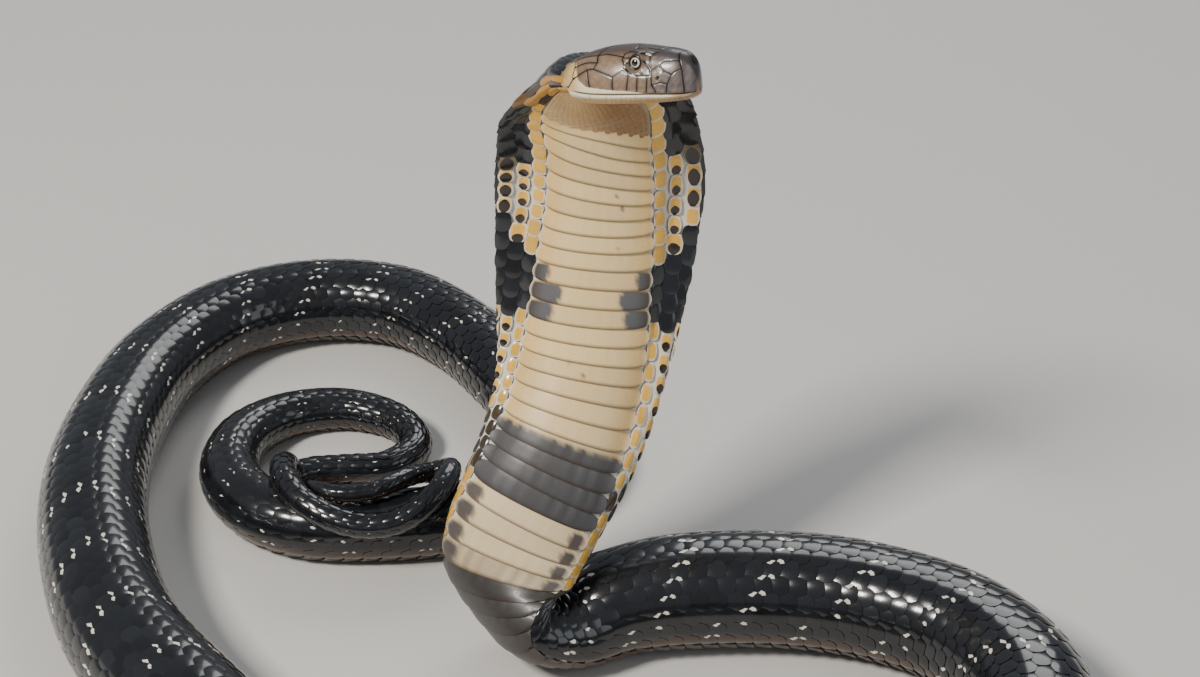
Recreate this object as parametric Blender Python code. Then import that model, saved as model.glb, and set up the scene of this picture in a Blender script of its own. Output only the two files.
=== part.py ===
"""A life-size king cobra: hood spread, the front of the body reared, the tail coiled beside it.

Metres, +Z up, standing on z = 0, with the middle of its bounding box over the origin.
The whole body is one route that runs from the back of the head to the tip of the tail.
Every section across it has a belly, two flanks and a back, and every node is one length of it.
"""

import math

import bmesh
import bpy
import numpy as np

# The plan is drawn from the foot of the reared part and then moved over the middle of its box.
PLAN_CENTRE = (-0.0372, 0.0528)

SPAN_POINTS = 30  # places worked out between two rows of the route
GAP = 0.0003  # left between two lengths, and between an eye and its socket
SINK = 0.0011  # how far the round belly is pressed flat where it lies on the ground
SKIN_CLEAR = 0.0017  # between a turn of the tail and the turn it lies on

# Head, measured forwards from its joint with the neck
HEAD_FORWARD = (0.825, -0.53, 0.19)
HEAD_JOINT = (-0.0040, 0.0060, 0.3667)
HEAD_ROLL = 14.0  # degrees, its crown leaning to its left
JOINT_FORWARD = (0.60, -0.68, 0.42)  # square to the cut between head and neck
JOINT_FADE = 0.026  # the head's rings turn from that cut to square over this length
EYE_FORWARD = 0.0360
EYE_SIDE = 0.0120
EYE_UP = 0.0090
EYE_RADIUS = 0.0036
EYE_RINGS, SOCKET_RINGS, NOSTRIL_RINGS = 8, 10, 6  # how finely these balls are divided

# Reared part, from the neck down to the ground: place of the axis, half the width across the
# ribs, half the depth from belly to back, how far it spreads as a hood, and where its belly faces
REARED = [
    # x, y, z, half width, half depth, spread, belly x, y, z
    (-0.0040, 0.0060, 0.3667, 0.0180, 0.0112, 0.00, 0.02, -0.30, -0.95),
    (-0.0090, 0.0205, 0.3575, 0.0212, 0.0130, 0.06, 0.10, -0.62, -0.78),
    (-0.0060, 0.0350, 0.3440, 0.0395, 0.0140, 0.42, 0.05, -0.80, -0.55),
    (-0.0030, 0.0470, 0.3280, 0.0525, 0.0155, 0.78, 0.02, -0.95, -0.20),
    (-0.0010, 0.0530, 0.3060, 0.0565, 0.0170, 0.95, 0.02, -1.00, 0.05),
    (0.0000, 0.0550, 0.2800, 0.0590, 0.0175, 1.00, 0.00, -1.00, 0.15),
    (-0.0020, 0.0530, 0.2460, 0.0575, 0.0180, 0.95, 0.00, -1.00, 0.15),
    (-0.0050, 0.0460, 0.2140, 0.0545, 0.0190, 0.85, -0.03, -1.00, 0.15),
    (-0.0095, 0.0350, 0.1760, 0.0500, 0.0205, 0.70, -0.08, -1.00, 0.15),
    (-0.0160, 0.0230, 0.1480, 0.0470, 0.0225, 0.50, -0.15, -1.00, 0.10),
    (-0.0265, 0.0110, 0.1210, 0.0452, 0.0245, 0.30, -0.28, -1.00, 0.00),
    (-0.0390, 0.0000, 0.0975, 0.0434, 0.0230, 0.10, -0.36, -1.00, -0.10),
    (-0.0495, -0.0085, 0.0755, 0.0422, 0.0215, 0.00, -0.42, -0.90, -0.30),
    (-0.0540, -0.0155, 0.0540, 0.0408, 0.0205, 0.00, -0.42, -0.75, -0.60),
    (-0.0440, -0.0190, 0.0320, 0.0390, 0.0215, 0.00, -0.25, -0.40, -1.00),
    (-0.0180, -0.0115, 0.0250, 0.0365, 0.0260, 0.00, -0.10, -0.15, -1.00),
]

# Body on the ground, on to the first turn of the tail: place and half thickness
GROUND = [
    # x, y, half thickness
    (0.0100, -0.0030, 0.0312),
    (0.0450, 0.0045, 0.0335),
    (0.1100, 0.0055, 0.0338),
    (0.1620, -0.0060, 0.0336),
    (0.2100, -0.0340, 0.0335),
    (0.2380, -0.0820, 0.0334),
    (0.2340, -0.1400, 0.0334),
    (0.1950, -0.1900, 0.0335),
    (0.1300, -0.2200, 0.0336),
    (0.0500, -0.2330, 0.0337),
    (-0.0250, -0.2290, 0.0338),
    (-0.0960, -0.2090, 0.0340),
    (-0.1640, -0.1680, 0.0341),
    (-0.2270, -0.0990, 0.0340),
    (-0.2740, -0.0330, 0.0338),
    (-0.3010, 0.0380, 0.0335),
    (-0.3145, 0.1100, 0.0328),
    (-0.3130, 0.1850, 0.0312),
    (-0.2960, 0.2600, 0.0296),
    (-0.2560, 0.3180, 0.0290),
    (-0.2000, 0.3430, 0.0286),
    (-0.1420, 0.3370, 0.0279),
    (-0.0960, 0.2990, 0.0268),
    (-0.0580, 0.2400, 0.0257),
    (-0.0300, 0.1930, 0.0250),
    (-0.0210, 0.1480, 0.0242),
    (-0.0380, 0.1110, 0.0234),
    (-0.0860, 0.0925, 0.0226),
    (-0.1360, 0.0850, 0.0216),
    (-0.1840, 0.0880, 0.0211),
    (-0.2180, 0.1090, 0.0206),
    (-0.2370, 0.1460, 0.0192),
    (-0.2330, 0.1870, 0.0174),
    (-0.2070, 0.2170, 0.0154),
    (-0.1680, 0.2260, 0.0140),
    (-0.1330, 0.2110, 0.0124),
    (-0.1210, 0.1860, 0.0113),
    (-0.1370, 0.1660, 0.0103),
    (-0.1660, 0.1630, 0.0097),
    (-0.1900, 0.1600, 0.0094),
    (-0.2025, 0.1480, 0.0092),
]

# End of the tail, which climbs over the first turn, doubles back and lies along its top.
# How far along the first turn it is, round it from the inner side, and its half thickness
TURN_START = 28  # the point of GROUND at which the first turn is measured from
TURN_POINTS = 40  # places worked out between two points of the first turn
TURN_RADIUS = 0.03  # round about that of the first turn and half of the tail on it
LOOK_AHEAD = 0.004  # over this length the direction of the turn is taken
TAIL_DOWNWARD = 0.4  # how much the belly of the tail's end turns down rather than to the turn
ON_TURN = [
    # along, degrees round, half thickness
    (0.098, 2.0, 0.0091),
    (0.083, 36.0, 0.0090),
    (0.064, 78.0, 0.0089),
    (0.042, 116.0, 0.0088),
    (0.016, 140.0, 0.0086),
    (-0.010, 141.0, 0.0083),
    (-0.030, 120.0, 0.0079),
    (-0.044, 86.0, 0.0074),
    (-0.047, 56.0, 0.0070),
    (-0.036, 44.0, 0.0067),
    (-0.018, 72.0, 0.0064),
    (0.002, 96.0, 0.0061),
    (0.026, 98.0, 0.0055),
    (0.042, 82.0, 0.0040),
    (0.050, 72.0, 0.0014),
]

# Where one node ends and the next begins, in metres down the route from the head
REARED_CUTS = {"neck": 0.048, "hood": 0.225, "hood_foot": 0.410}
BODY_LENGTHS = 8
TAIL_LENGTHS = 5

SCUTE_LENGTH = 0.0112  # of one belly scute
SCUTE_LIFT = 0.0009  # how far its rear edge stands up
BELLY_COLUMNS = 11  # columns of the section that the belly scutes take
FLANK_COLUMNS = 17
# How far round from the middle of the belly its scutes reach: metres down the route, degrees
SCUTE_REACH = [
    (0.0, 52.0), (0.05, 37.0), (0.08, 32.5), (0.12, 33.0), (0.18, 41.0), (0.28, 57.0),
    (0.38, 70.0), (0.45, 60.0),
]

# Outline of the head at a few distances forward of its joint
HEAD_OUTLINE = [
    # forward, half width, top, mouth line, bottom
    (0.000, 0.0180, 0.0085, -0.0062, -0.0140),
    (0.006, 0.0205, 0.0118, -0.0068, -0.0144),
    (0.014, 0.0216, 0.0146, -0.0072, -0.0142),
    (0.024, 0.0204, 0.0160, -0.0070, -0.0136),
    (0.034, 0.0180, 0.0162, -0.0066, -0.0128),
    (0.044, 0.0152, 0.0157, -0.0062, -0.0118),
    (0.052, 0.0130, 0.0152, -0.0060, -0.0108),
    (0.058, 0.0106, 0.0137, -0.0058, -0.0098),
    (0.0620, 0.0070, 0.0100, -0.0056, -0.0084),
    (0.0640, 0.0020, 0.0020, -0.0052, -0.0064),
]
# Large shields of the head: from and to forward of its joint, and the lowest and highest places
# that they reach round it, where 1 is the lip and 2 the middle of the crown
SHIELDS = [
    ("occipital", 0.0050, 0.0155, 1.64, 1.98),
    ("parietal", 0.0180, 0.0305, 1.62, 1.98),
    ("supraocular", 0.0320, 0.0420, 1.68, 1.79),
    ("prefrontal", 0.0475, 0.0560, 1.64, 1.98),
    ("internasal", 0.0575, 0.0612, 1.64, 1.96),
    ("temporal", 0.0170, 0.0280, 1.38, 1.56),
    ("nasal", 0.0498, 0.0580, 1.34, 1.54),
    ("rear upper lip", 0.0160, 0.0250, 1.05, 1.24),
    ("middle upper lip", 0.0265, 0.0328, 1.05, 1.20),
    ("front upper lip", 0.0340, 0.0382, 1.05, 1.19),
]
FRONTAL = (0.0345, 0.0465, 1.82)  # the one shield that lies across the middle of the crown
SHIELD_LIFT = 0.00022
SHIELD_ROOT = 0.0007  # how deep its underside lies in the head
NOSTRIL = (0.0486, 1.205, 0.0009)  # forward, round and radius

MOUTH_BACK = 0.004  # the corner of the mouth, forward of the joint
MOUTH_DEPTH = 0.0011
LIP_HEIGHT = 0.0006
JAW_COLUMNS = 8
CROWN_COLUMNS = 11

# Shapes of the sections: how the sine and cosine of the turn round them are raised
OVAL_POWER = 0.92  # under 1, fuller than an ellipse
HOOD_REACH_POWER = 1.15
HOOD_CORE = 0.72  # share of the hood's half width that the rounded middle takes
HOOD_CORE_POWER = 2.2
FLANGE_HALF = 0.0030  # half thickness of the hood's flanges, and of their rims
RIM_HALF = 0.0006
FLANGE_TURN = 3.0  # how fast the flange reaches its thickness from its rim
HOOD_SWEEP = 0.0085  # how far the rims come forward, from this share of the width out
HOOD_SWEEP_FROM = 0.35
JAW_SIDE_POWER, JAW_UP_POWER = 0.85, 0.90
CROWN_SIDE_POWER, CROWN_UP_POWER = 0.80, 0.86

GROUND_WIDENING = 1.02  # of the body lying on the ground, across over up
RAISED_SHARE = 0.86  # of a scute's length, from its front to its lifted edge
BODY_SPACING, BODY_COLUMNS = 0.020, 20  # between two rings of the body, and points to a ring
TAIL_SPACING, TAIL_COLUMNS = 0.011, 16
HEAD_SPAN_RINGS = 4  # rings of the head between two rows of its outline
MOUTH_OPENING = 0.006  # the mouth's line deepens over this length
LIP_POWER = 4  # how closely the lips' swelling keeps to the mouth
JAW_TUCK = 0.03  # how much narrower the lower jaw is than the upper one
MOUTH_FULL_WIDTH = 0.006  # half width of the head from which the mouth's line is full deep
SHIELD_SIDE = 5  # points along each side of a shield
SHIELD_CORNER = 0.20  # how far its corners are rounded
SHARP_EDGE = 50.0  # degrees

SCALE_BLACK = (0.035, 0.032, 0.030)
BELLY_CREAM = (0.62, 0.50, 0.30)
HEAD_BROWN = (0.12, 0.095, 0.075)
EYE_BLACK = (0.02, 0.015, 0.01)


def along_spline(values, count):
    """Points of a smooth curve through the rows of values, with count of them to a span.

    Each span is a cubic whose slopes at its ends are those of a parabola through three rows.
    """
    values = np.asarray(values, float)
    step = np.linalg.norm(np.diff(values[:, :3], axis=0), axis=1) ** 0.5
    knots = np.concatenate([[0.0], np.cumsum(step)])
    slope = np.gradient(values, knots, axis=0, edge_order=2)
    places = np.concatenate(
        [np.linspace(knots[i], knots[i + 1], count, endpoint=False) for i in range(len(knots) - 1)]
        + [knots[-1:]]
    )
    span = np.clip(np.searchsorted(knots, places, side="right") - 1, 0, len(knots) - 2)
    width = (knots[span + 1] - knots[span])[:, None]
    t = (places - knots[span])[:, None] / width
    return (
        values[span] * (2 * t**3 - 3 * t**2 + 1)
        + slope[span] * width * (t**3 - 2 * t**2 + t)
        + values[span + 1] * (3 * t**2 - 2 * t**3)
        + slope[span + 1] * width * (t**3 - t**2)
    )


def distance_along(points):
    """How far along a line of points each of them is."""
    steps = np.linalg.norm(np.diff(points[:, :3], axis=0), axis=1)
    return np.concatenate([[0.0], np.cumsum(steps)])


def ground_rows():
    """The rows of GROUND as full rows of the route: the axis lies half a thickness up."""
    rows = []
    for x, y, half in GROUND:
        rows.append((x, y, half - SINK, half * GROUND_WIDENING, half, 0.0, 0.0, 0.0, -1.0))
    return rows


def tail_end_rows():
    """Rows for the end of the tail, set round the first turn's own axis.

    A row at an angle round the turn lies off its axis by both half thicknesses and a hair.
    """
    turn = along_spline([(x, y, half - SINK, half) for x, y, half in GROUND], TURN_POINTS)
    place = distance_along(turn) - distance_along(turn)[TURN_START * TURN_POINTS]
    rows = []
    # angles are taken as lengths on a circle of TURN_RADIUS, so that the spline weighs both alike
    smooth = along_spline([(along, math.radians(d) * TURN_RADIUS, half) for along, d, half in ON_TURN], 2)
    for along, arc, half in smooth:
        angle = arc / TURN_RADIUS
        centre = np.array([np.interp(along, place, turn[:, k]) for k in range(4)])
        ahead = np.array([np.interp(along + LOOK_AHEAD, place, turn[:, k]) for k in range(2)])
        forward = ahead - centre[:2]
        forward /= np.linalg.norm(forward)
        inward = np.array([forward[1], -forward[0]])
        reach = centre[3] + half + SKIN_CLEAR
        x, y = centre[:2] + inward * math.cos(angle) * reach
        z = max(centre[2] + math.sin(angle) * reach, half - SINK / 2)
        to_turn = (-inward[0] * math.cos(angle), -inward[1] * math.cos(angle))
        rows.append((x, y, z, half, half, 0.0, *to_turn, -math.sin(angle) - TAIL_DOWNWARD))
    return rows


def lay_route():
    """The route as arrays: distance, axis, forward, belly direction, half sizes and spread.

    It starts inside the head, mirrored about the direction of their joint, so that the neck
    leaves the joint square, and distances count from the joint.
    """
    rows = np.array(REARED + ground_rows() + tail_end_rows())
    ahead = np.array(JOINT_FORWARD) / np.linalg.norm(JOINT_FORWARD)
    inside_head = rows[0].copy()
    inside_head[:3] = rows[1, :3] + 2 * ahead.dot(rows[0, :3] - rows[1, :3]) * ahead
    rows = np.vstack([inside_head, rows])
    rows[:, 0] -= PLAN_CENTRE[0]
    rows[:, 1] -= PLAN_CENTRE[1]
    fine = along_spline(rows, SPAN_POINTS)
    axis = fine[:, :3]
    forward = np.gradient(axis, axis=0)
    forward /= np.linalg.norm(forward, axis=1)[:, None]
    belly = fine[:, 6:9] - (fine[:, 6:9] * forward).sum(1)[:, None] * forward
    belly /= np.linalg.norm(belly, axis=1)[:, None]
    return {
        "at": distance_along(fine) - distance_along(fine)[SPAN_POINTS],
        "axis": axis,
        "forward": forward,
        "belly": belly,
        "sizes": fine[:, 3:6],
    }


def read_route(route, places):
    """Axis, forward, belly direction and sizes of the route at some distances along it."""
    read = {}
    for name in ("axis", "forward", "belly", "sizes"):
        read[name] = np.stack(
            [np.interp(places, route["at"], route[name][:, k]) for k in range(3)], axis=1
        )
    read["forward"] /= np.linalg.norm(read["forward"], axis=1)[:, None]
    read["belly"] -= (read["belly"] * read["forward"]).sum(1)[:, None] * read["forward"]
    read["belly"] /= np.linalg.norm(read["belly"], axis=1)[:, None]
    return read


def section(turn, half_width, half_depth, spread):
    """Sideways and downwards places of a section at the angles turn, 0 at the belly's middle.

    A plain length is a fat oval. With spread, the flanks thin out into two flat flanges that
    come a little forward, and the belly keeps its own rounded swelling between them.
    """
    side = np.sin(turn)
    down = np.cos(turn)
    oval_side = half_width * np.sign(side) * np.abs(side) ** OVAL_POWER
    oval_down = half_depth * np.sign(down) * np.abs(down) ** OVAL_POWER
    reach = np.abs(side) ** HOOD_REACH_POWER
    core = np.clip(1.0 - (reach / HOOD_CORE) ** HOOD_CORE_POWER, 0.0, 1.0)
    thick = half_depth * core + FLANGE_HALF * (1.0 - reach**6) + RIM_HALF
    forward_sweep = HOOD_SWEEP * np.clip(reach - HOOD_SWEEP_FROM, 0.0, 1.0) ** 1.4
    hood_side = half_width * np.sign(side) * reach
    hood_down = np.sign(down) * thick * np.minimum(1.0, np.abs(down) * FLANGE_TURN) + forward_sweep
    return (
        oval_side * (1 - spread) + hood_side * spread,
        oval_down * (1 - spread) + hood_down * spread,
    )


def new_material(name, colour, roughness):
    """A plain Principled BSDF."""
    material = bpy.data.materials.new(name)
    material.use_nodes = True
    shader = material.node_tree.nodes["Principled BSDF"]
    shader.inputs["Base Color"].default_value = (*colour, 1.0)
    shader.inputs["Roughness"].default_value = roughness
    shader.inputs["Metallic"].default_value = 0.0
    return material


def new_object(name, vertices, faces, material):
    """Adds a mesh object, shaded smooth but for its sharp ends."""
    mesh = bpy.data.meshes.new(name)
    mesh.from_pydata([tuple(v) for v in vertices], [], [tuple(f) for f in faces])
    work = bmesh.new()
    work.from_mesh(mesh)
    bmesh.ops.triangulate(work, faces=work.faces[:])
    bmesh.ops.recalc_face_normals(work, faces=work.faces[:])
    work.to_mesh(mesh)
    work.free()
    mesh.shade_smooth()
    mesh.set_sharp_from_angle(angle=math.radians(SHARP_EDGE))
    mesh.materials.append(material)
    thing = bpy.data.objects.new(name, mesh)
    bpy.context.scene.collection.objects.link(thing)
    return thing


def closed_tube(rings):
    """Vertices and faces of a tube through equal rings of points, with both its ends filled."""
    count, columns = len(rings), len(rings[0])
    vertices = [point for ring in rings for point in ring]
    vertices.append(np.mean(rings[0], axis=0))
    vertices.append(np.mean(rings[-1], axis=0))
    first, last = count * columns, count * columns + 1
    faces = []
    for i in range(count - 1):
        for j in range(columns):
            k = (j + 1) % columns
            faces.append((i * columns + j, i * columns + k, (i + 1) * columns + k, (i + 1) * columns + j))
    for j in range(columns):
        k = (j + 1) % columns
        faces.append((first, k, j))
        faces.append((last, (count - 1) * columns + j, (count - 1) * columns + k))
    return vertices, faces


def scuted_turns(places):
    """Angles round the section at each place, with BELLY_COLUMNS of them over the scutes."""
    reach = np.radians(np.interp(places, *np.transpose(SCUTE_REACH)))[:, None]
    over_belly = np.linspace(-1.0, 1.0, BELLY_COLUMNS)[None, :] * reach
    round_back = np.linspace(0.0, 1.0, FLANK_COLUMNS + 2)[None, 1:-1]
    return np.hstack([over_belly, reach + round_back * (2 * math.pi - 2 * reach)])


def make_length(route, name, start, end, spacing, columns, material):
    """One length of the body between two distances, as a plain tube cut square at its ends."""
    count = max(3, round((end - start) / spacing) + 1)
    places = np.linspace(start + GAP / 2, end - GAP / 2, count)
    turn = np.arange(columns)[None, :] * 2 * math.pi / columns
    rings = rings_at(route, places, turn, np.zeros((count, columns)))
    rings[:, :, 2] = np.maximum(rings[:, :, 2], 0.0)
    return new_object(name, *closed_tube(list(rings)), material)


def rings_at(route, places, turn, lift):
    """Rings of points round the route, each pushed out from the axis by its lift."""
    read = read_route(route, places)
    across = np.cross(read["belly"], read["forward"])
    side, down = section(turn, read["sizes"][:, :1], read["sizes"][:, 1:2], read["sizes"][:, 2:3])
    down = down + lift * np.cos(turn)
    return (
        read["axis"][:, None, :]
        + side[:, :, None] * across[:, None, :]
        + down[:, :, None] * read["belly"][:, None, :]
    )


def make_scuted_length(route, name, start, end, material):
    """A reared length, with its belly scutes raised one behind another like roof tiles.

    Each scute has a ring at its front, level with the skin, and one at its lifted rear edge.
    """
    count = max(2, round((end - start) / SCUTE_LENGTH))
    step = (end - start - GAP) / count
    on_belly = np.zeros(BELLY_COLUMNS + FLANK_COLUMNS)
    on_belly[1:BELLY_COLUMNS - 1] = 1.0
    places, lifts = [], []
    for i in range(count):
        front = start + GAP / 2 + i * step
        places += [front, front + step * RAISED_SHARE]
        lifts += [0.0, SCUTE_LIFT]
    places.append(end - GAP / 2)
    lifts.append(0.0)
    places = np.array(places)
    rings = rings_at(route, places, scuted_turns(places), np.array(lifts)[:, None] * on_belly)
    rings[:, :, 2] = np.maximum(rings[:, :, 2], 0.0)
    return new_object(name, *closed_tube(list(rings)), material)


def remove_everything():
    """Starts from an empty scene."""
    for thing in list(bpy.data.objects):
        bpy.data.objects.remove(thing, do_unlink=True)


def head_frame():
    """Joint, forward, leftward and upward directions of the head."""
    forward = np.array(HEAD_FORWARD) / np.linalg.norm(HEAD_FORWARD)
    left = np.cross((0.0, 0.0, 1.0), forward)
    left /= np.linalg.norm(left)
    up = np.cross(forward, left)
    roll = math.radians(HEAD_ROLL)
    left, up = left * math.cos(roll) - up * math.sin(roll), up * math.cos(roll) + left * math.sin(roll)
    joint = np.array(HEAD_JOINT) - np.array([*PLAN_CENTRE, 0.0])
    return joint, forward, left, up


def head_rings():
    """Rings round the head, each a lower arc and an upper arc that meet along the mouth.

    The lower arc is a quarter of an oval from the chin out to the lip, the upper one a fuller
    quarter from the lip up to the crown. Between them one column sinks in as the mouth's line.
    """
    outline = along_spline(HEAD_OUTLINE, HEAD_SPAN_RINGS)
    forward = outline[:, 0]
    width, top, mouth, bottom = [outline[:, k:k + 1] for k in range(1, 5)]
    open_back = np.clip((forward - MOUTH_BACK) / MOUTH_OPENING, 0.0, 1.0)[:, None]
    low = np.linspace(0.0, 1.0, JAW_COLUMNS)[None, :] * math.pi / 2
    high = np.linspace(0.0, 1.0, CROWN_COLUMNS)[None, :] * math.pi / 2
    lip = LIP_HEIGHT * open_back
    jaw_side = width * (1 - JAW_TUCK * open_back) * np.sin(low) ** JAW_SIDE_POWER
    jaw_up = mouth - lip * np.sin(low) ** LIP_POWER + (bottom - mouth) * np.cos(low) ** JAW_UP_POWER
    line_side = width - MOUTH_DEPTH * open_back * np.minimum(1.0, width / MOUTH_FULL_WIDTH)
    crown_side = width * np.cos(high) ** CROWN_SIDE_POWER
    crown_up = mouth + lip * np.cos(high) ** LIP_POWER + (top - mouth) * np.sin(high) ** CROWN_UP_POWER
    side = np.concatenate([jaw_side, line_side, crown_side], axis=1)
    up = np.concatenate([jaw_up, mouth + 0 * line_side, crown_up], axis=1)
    side = np.concatenate([side, -side[:, -2:0:-1]], axis=1)
    up = np.concatenate([up, up[:, -2:0:-1]], axis=1)
    start = GAP * (forward[:, None] < 1e-6)
    return place_on_head(forward[:, None] + start, side, up)


def place_on_head(forward, side, up):
    """Points given forward, sideways and up from the joint, leaned to its cut at the back."""
    joint, ahead, left, above = head_frame()
    square = np.array(JOINT_FORWARD) / np.linalg.norm(JOINT_FORWARD)
    lean = -(side * left.dot(square) + up * above.dot(square)) / ahead.dot(square)
    fade = np.clip(1.0 - forward / JOINT_FADE, 0.0, 1.0) ** 1.5
    return (
        joint
        + (forward + lean * fade)[..., None] * ahead
        + np.asarray(side)[..., None] * left
        + np.asarray(up)[..., None] * above
    )


def upper_head(forward, place):
    """Points of the head's upper skin, at places from the lip, 1, over the crown, 2, to 3."""
    outline = along_spline(HEAD_OUTLINE, 2 * HEAD_SPAN_RINGS)
    width, top, mouth = [np.interp(forward, outline[:, 0], outline[:, k]) for k in (1, 2, 3)]
    turn = np.minimum(place - 1, 3 - place) * math.pi / 2
    side = np.where(place <= 2, 1.0, -1.0) * width * np.cos(turn) ** CROWN_SIDE_POWER
    return place_on_head(forward, side, mouth + (top - mouth) * np.sin(turn) ** CROWN_UP_POWER)


def upper_head_lifted(forward, place, lift):
    """Points of the upper skin moved out square to it by lift."""
    small = 1e-4
    along = upper_head(forward + small, place) - upper_head(forward - small, place)
    round_it = upper_head(forward, place + small) - upper_head(forward, place - small)
    out = np.cross(along, round_it)
    out /= np.linalg.norm(out, axis=-1, keepdims=True)
    return upper_head(forward, place) + out * np.asarray(lift)[..., None]


def make_shield(name, back, front, low, high, material):
    """A thin plate with rounded corners over part of the head, its rim and underside sunk in it."""
    line = np.linspace(-1, 1, SHIELD_SIDE)
    g, h = np.meshgrid(line, line, indexing="ij")
    inside = (np.abs(g) < 0.9) & (np.abs(h) < 0.9)
    forward = (back + front) / 2 + (front - back) / 2 * g * np.sqrt(1 - SHIELD_CORNER * h**2)
    place = (low + high) / 2 + (high - low) / 2 * h * np.sqrt(1 - SHIELD_CORNER * g**2)
    upper = upper_head_lifted(forward, place, np.where(inside, SHIELD_LIFT, -SHIELD_LIFT))
    under = upper_head_lifted(forward, place, np.full(g.shape, -SHIELD_ROOT))[inside]
    number = np.arange(g.size).reshape(g.shape)
    below = number.copy()
    below[inside] = g.size + np.arange(inside.sum())
    faces = []
    for grid in (number, below):
        for i in range(SHIELD_SIDE - 1):
            for j in range(SHIELD_SIDE - 1):
                corners = (grid[i, j], grid[i + 1, j], grid[i + 1, j + 1], grid[i, j + 1])
                faces.append(corners if grid is number else corners[::-1])
    return new_object(name, list(upper.reshape(-1, 3)) + list(under), faces, material)


def join_into(thing, pieces):
    """Fuses closed pieces into a thing and keeps its largest closed surface."""
    group = bpy.data.collections.new("pieces")
    for piece in pieces:
        bpy.context.scene.collection.objects.unlink(piece)
        group.objects.link(piece)
    fuse = thing.modifiers.new("join", "BOOLEAN")
    fuse.operation = "UNION"
    fuse.operand_type = "COLLECTION"
    fuse.collection = group
    fuse.solver = "EXACT"
    apply_modifiers(thing)
    for piece in pieces:
        bpy.data.objects.remove(piece, do_unlink=True)
    bpy.data.collections.remove(group)
    keep_largest(thing)


def keep_largest(thing):
    """Drops all but the largest connected surface of a thing."""
    work = bmesh.new()
    work.from_mesh(thing.data)
    unseen = set(work.verts)
    surfaces = []
    while unseen:
        surface, edge = set(), [unseen.pop()]
        while edge:
            vertex = edge.pop()
            surface.add(vertex)
            for link in vertex.link_edges:
                other = link.other_vert(vertex)
                if other in unseen:
                    unseen.remove(other)
                    edge.append(other)
        surfaces.append(surface)
    surfaces.sort(key=len)
    for surface in surfaces[:-1]:
        bmesh.ops.delete(work, geom=list(surface), context="VERTS")
    work.to_mesh(thing.data)
    work.free()


def eye_centre(which):
    """Middle of an eyeball: which is +1 for the left eye and -1 for the right one."""
    joint, ahead, left, above = head_frame()
    return joint + EYE_FORWARD * ahead + which * EYE_SIDE * left + EYE_UP * above


def ball(name, centre, radius, rings, material):
    """A closed ball."""
    work = bmesh.new()
    bmesh.ops.create_uvsphere(work, u_segments=rings * 2, v_segments=rings, radius=radius)
    bmesh.ops.translate(work, verts=work.verts[:], vec=tuple(centre))
    bmesh.ops.triangulate(work, faces=work.faces[:])
    mesh = bpy.data.meshes.new(name)
    work.to_mesh(mesh)
    work.free()
    mesh.shade_smooth()
    mesh.materials.append(material)
    thing = bpy.data.objects.new(name, mesh)
    bpy.context.scene.collection.objects.link(thing)
    return thing


def make_head(skin, eye):
    """The head, with a socket cut for each eye, and the two eyeballs in them."""
    head = new_object("head", *closed_tube(list(head_rings())), skin)
    back, front, low = FRONTAL
    shields = [make_shield("frontal", back, front, low, 4 - low, skin)]
    for name, back, front, low, high in SHIELDS:
        shields.append(make_shield(name, back, front, low, high, skin))
        shields.append(make_shield(name, back, front, 4 - high, 4 - low, skin))
    join_into(head, shields)
    for side_name, which in (("left", 1.0), ("right", -1.0)):
        cut_out(head, ball("socket", eye_centre(which), EYE_RADIUS + GAP, SOCKET_RINGS, skin))
        ball("eye_" + side_name, eye_centre(which), EYE_RADIUS, EYE_RINGS, eye)
        forward, place, radius = NOSTRIL
        nostril = upper_head(np.array(forward), np.array(2 - which * (2 - place)))
        cut_out(head, ball("nostril", nostril, radius, NOSTRIL_RINGS, skin))
    keep_largest(head)
    return head


def cut_out(thing, cutter):
    """Cuts a closed piece out of a thing and removes the piece."""
    cut = thing.modifiers.new("cut", "BOOLEAN")
    cut.operation = "DIFFERENCE"
    cut.object = cutter
    cut.solver = "EXACT"
    apply_modifiers(thing)
    bpy.data.objects.remove(cutter, do_unlink=True)


def apply_modifiers(thing):
    """Replaces an object's mesh by what its modifiers make of it."""
    graph = bpy.context.evaluated_depsgraph_get()
    mesh = bpy.data.meshes.new_from_object(thing.evaluated_get(graph))
    thing.modifiers.clear()
    thing.data = mesh


def main():
    """Builds the head with its eyes, the reared lengths, and the lengths of body and tail."""
    remove_everything()
    cream = new_material("belly cream", BELLY_CREAM, 0.45)
    black = new_material("scale black", SCALE_BLACK, 0.30)
    brown = new_material("head brown", HEAD_BROWN, 0.35)
    eye = new_material("eye", EYE_BLACK, 0.05)
    route = lay_route()
    make_head(brown, eye)

    start = 0.0
    for name, end in REARED_CUTS.items():
        make_scuted_length(route, name, start, end, cream)
        start = end

    # the tail begins two points of GROUND before the first turn is measured from
    tail_start = route["at"][(1 + len(REARED) + TURN_START - 2) * SPAN_POINTS]
    body_step = (tail_start - start) / BODY_LENGTHS
    for i in range(BODY_LENGTHS):
        make_length(
            route, f"body_{i + 1}", start + i * body_step, start + (i + 1) * body_step,
            BODY_SPACING, BODY_COLUMNS, black,
        )
    tail_end = route["at"][-1]
    tail_step = (tail_end - tail_start) / TAIL_LENGTHS
    for i in range(TAIL_LENGTHS):
        make_length(
            route, f"tail_{i + 1}", tail_start + i * tail_step, tail_start + (i + 1) * tail_step,
            TAIL_SPACING, TAIL_COLUMNS, black,
        )


main()
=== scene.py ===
"""A life-size king cobra with its hood spread: one skin, its scales and scutes, and its eyes."""

import math

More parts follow.
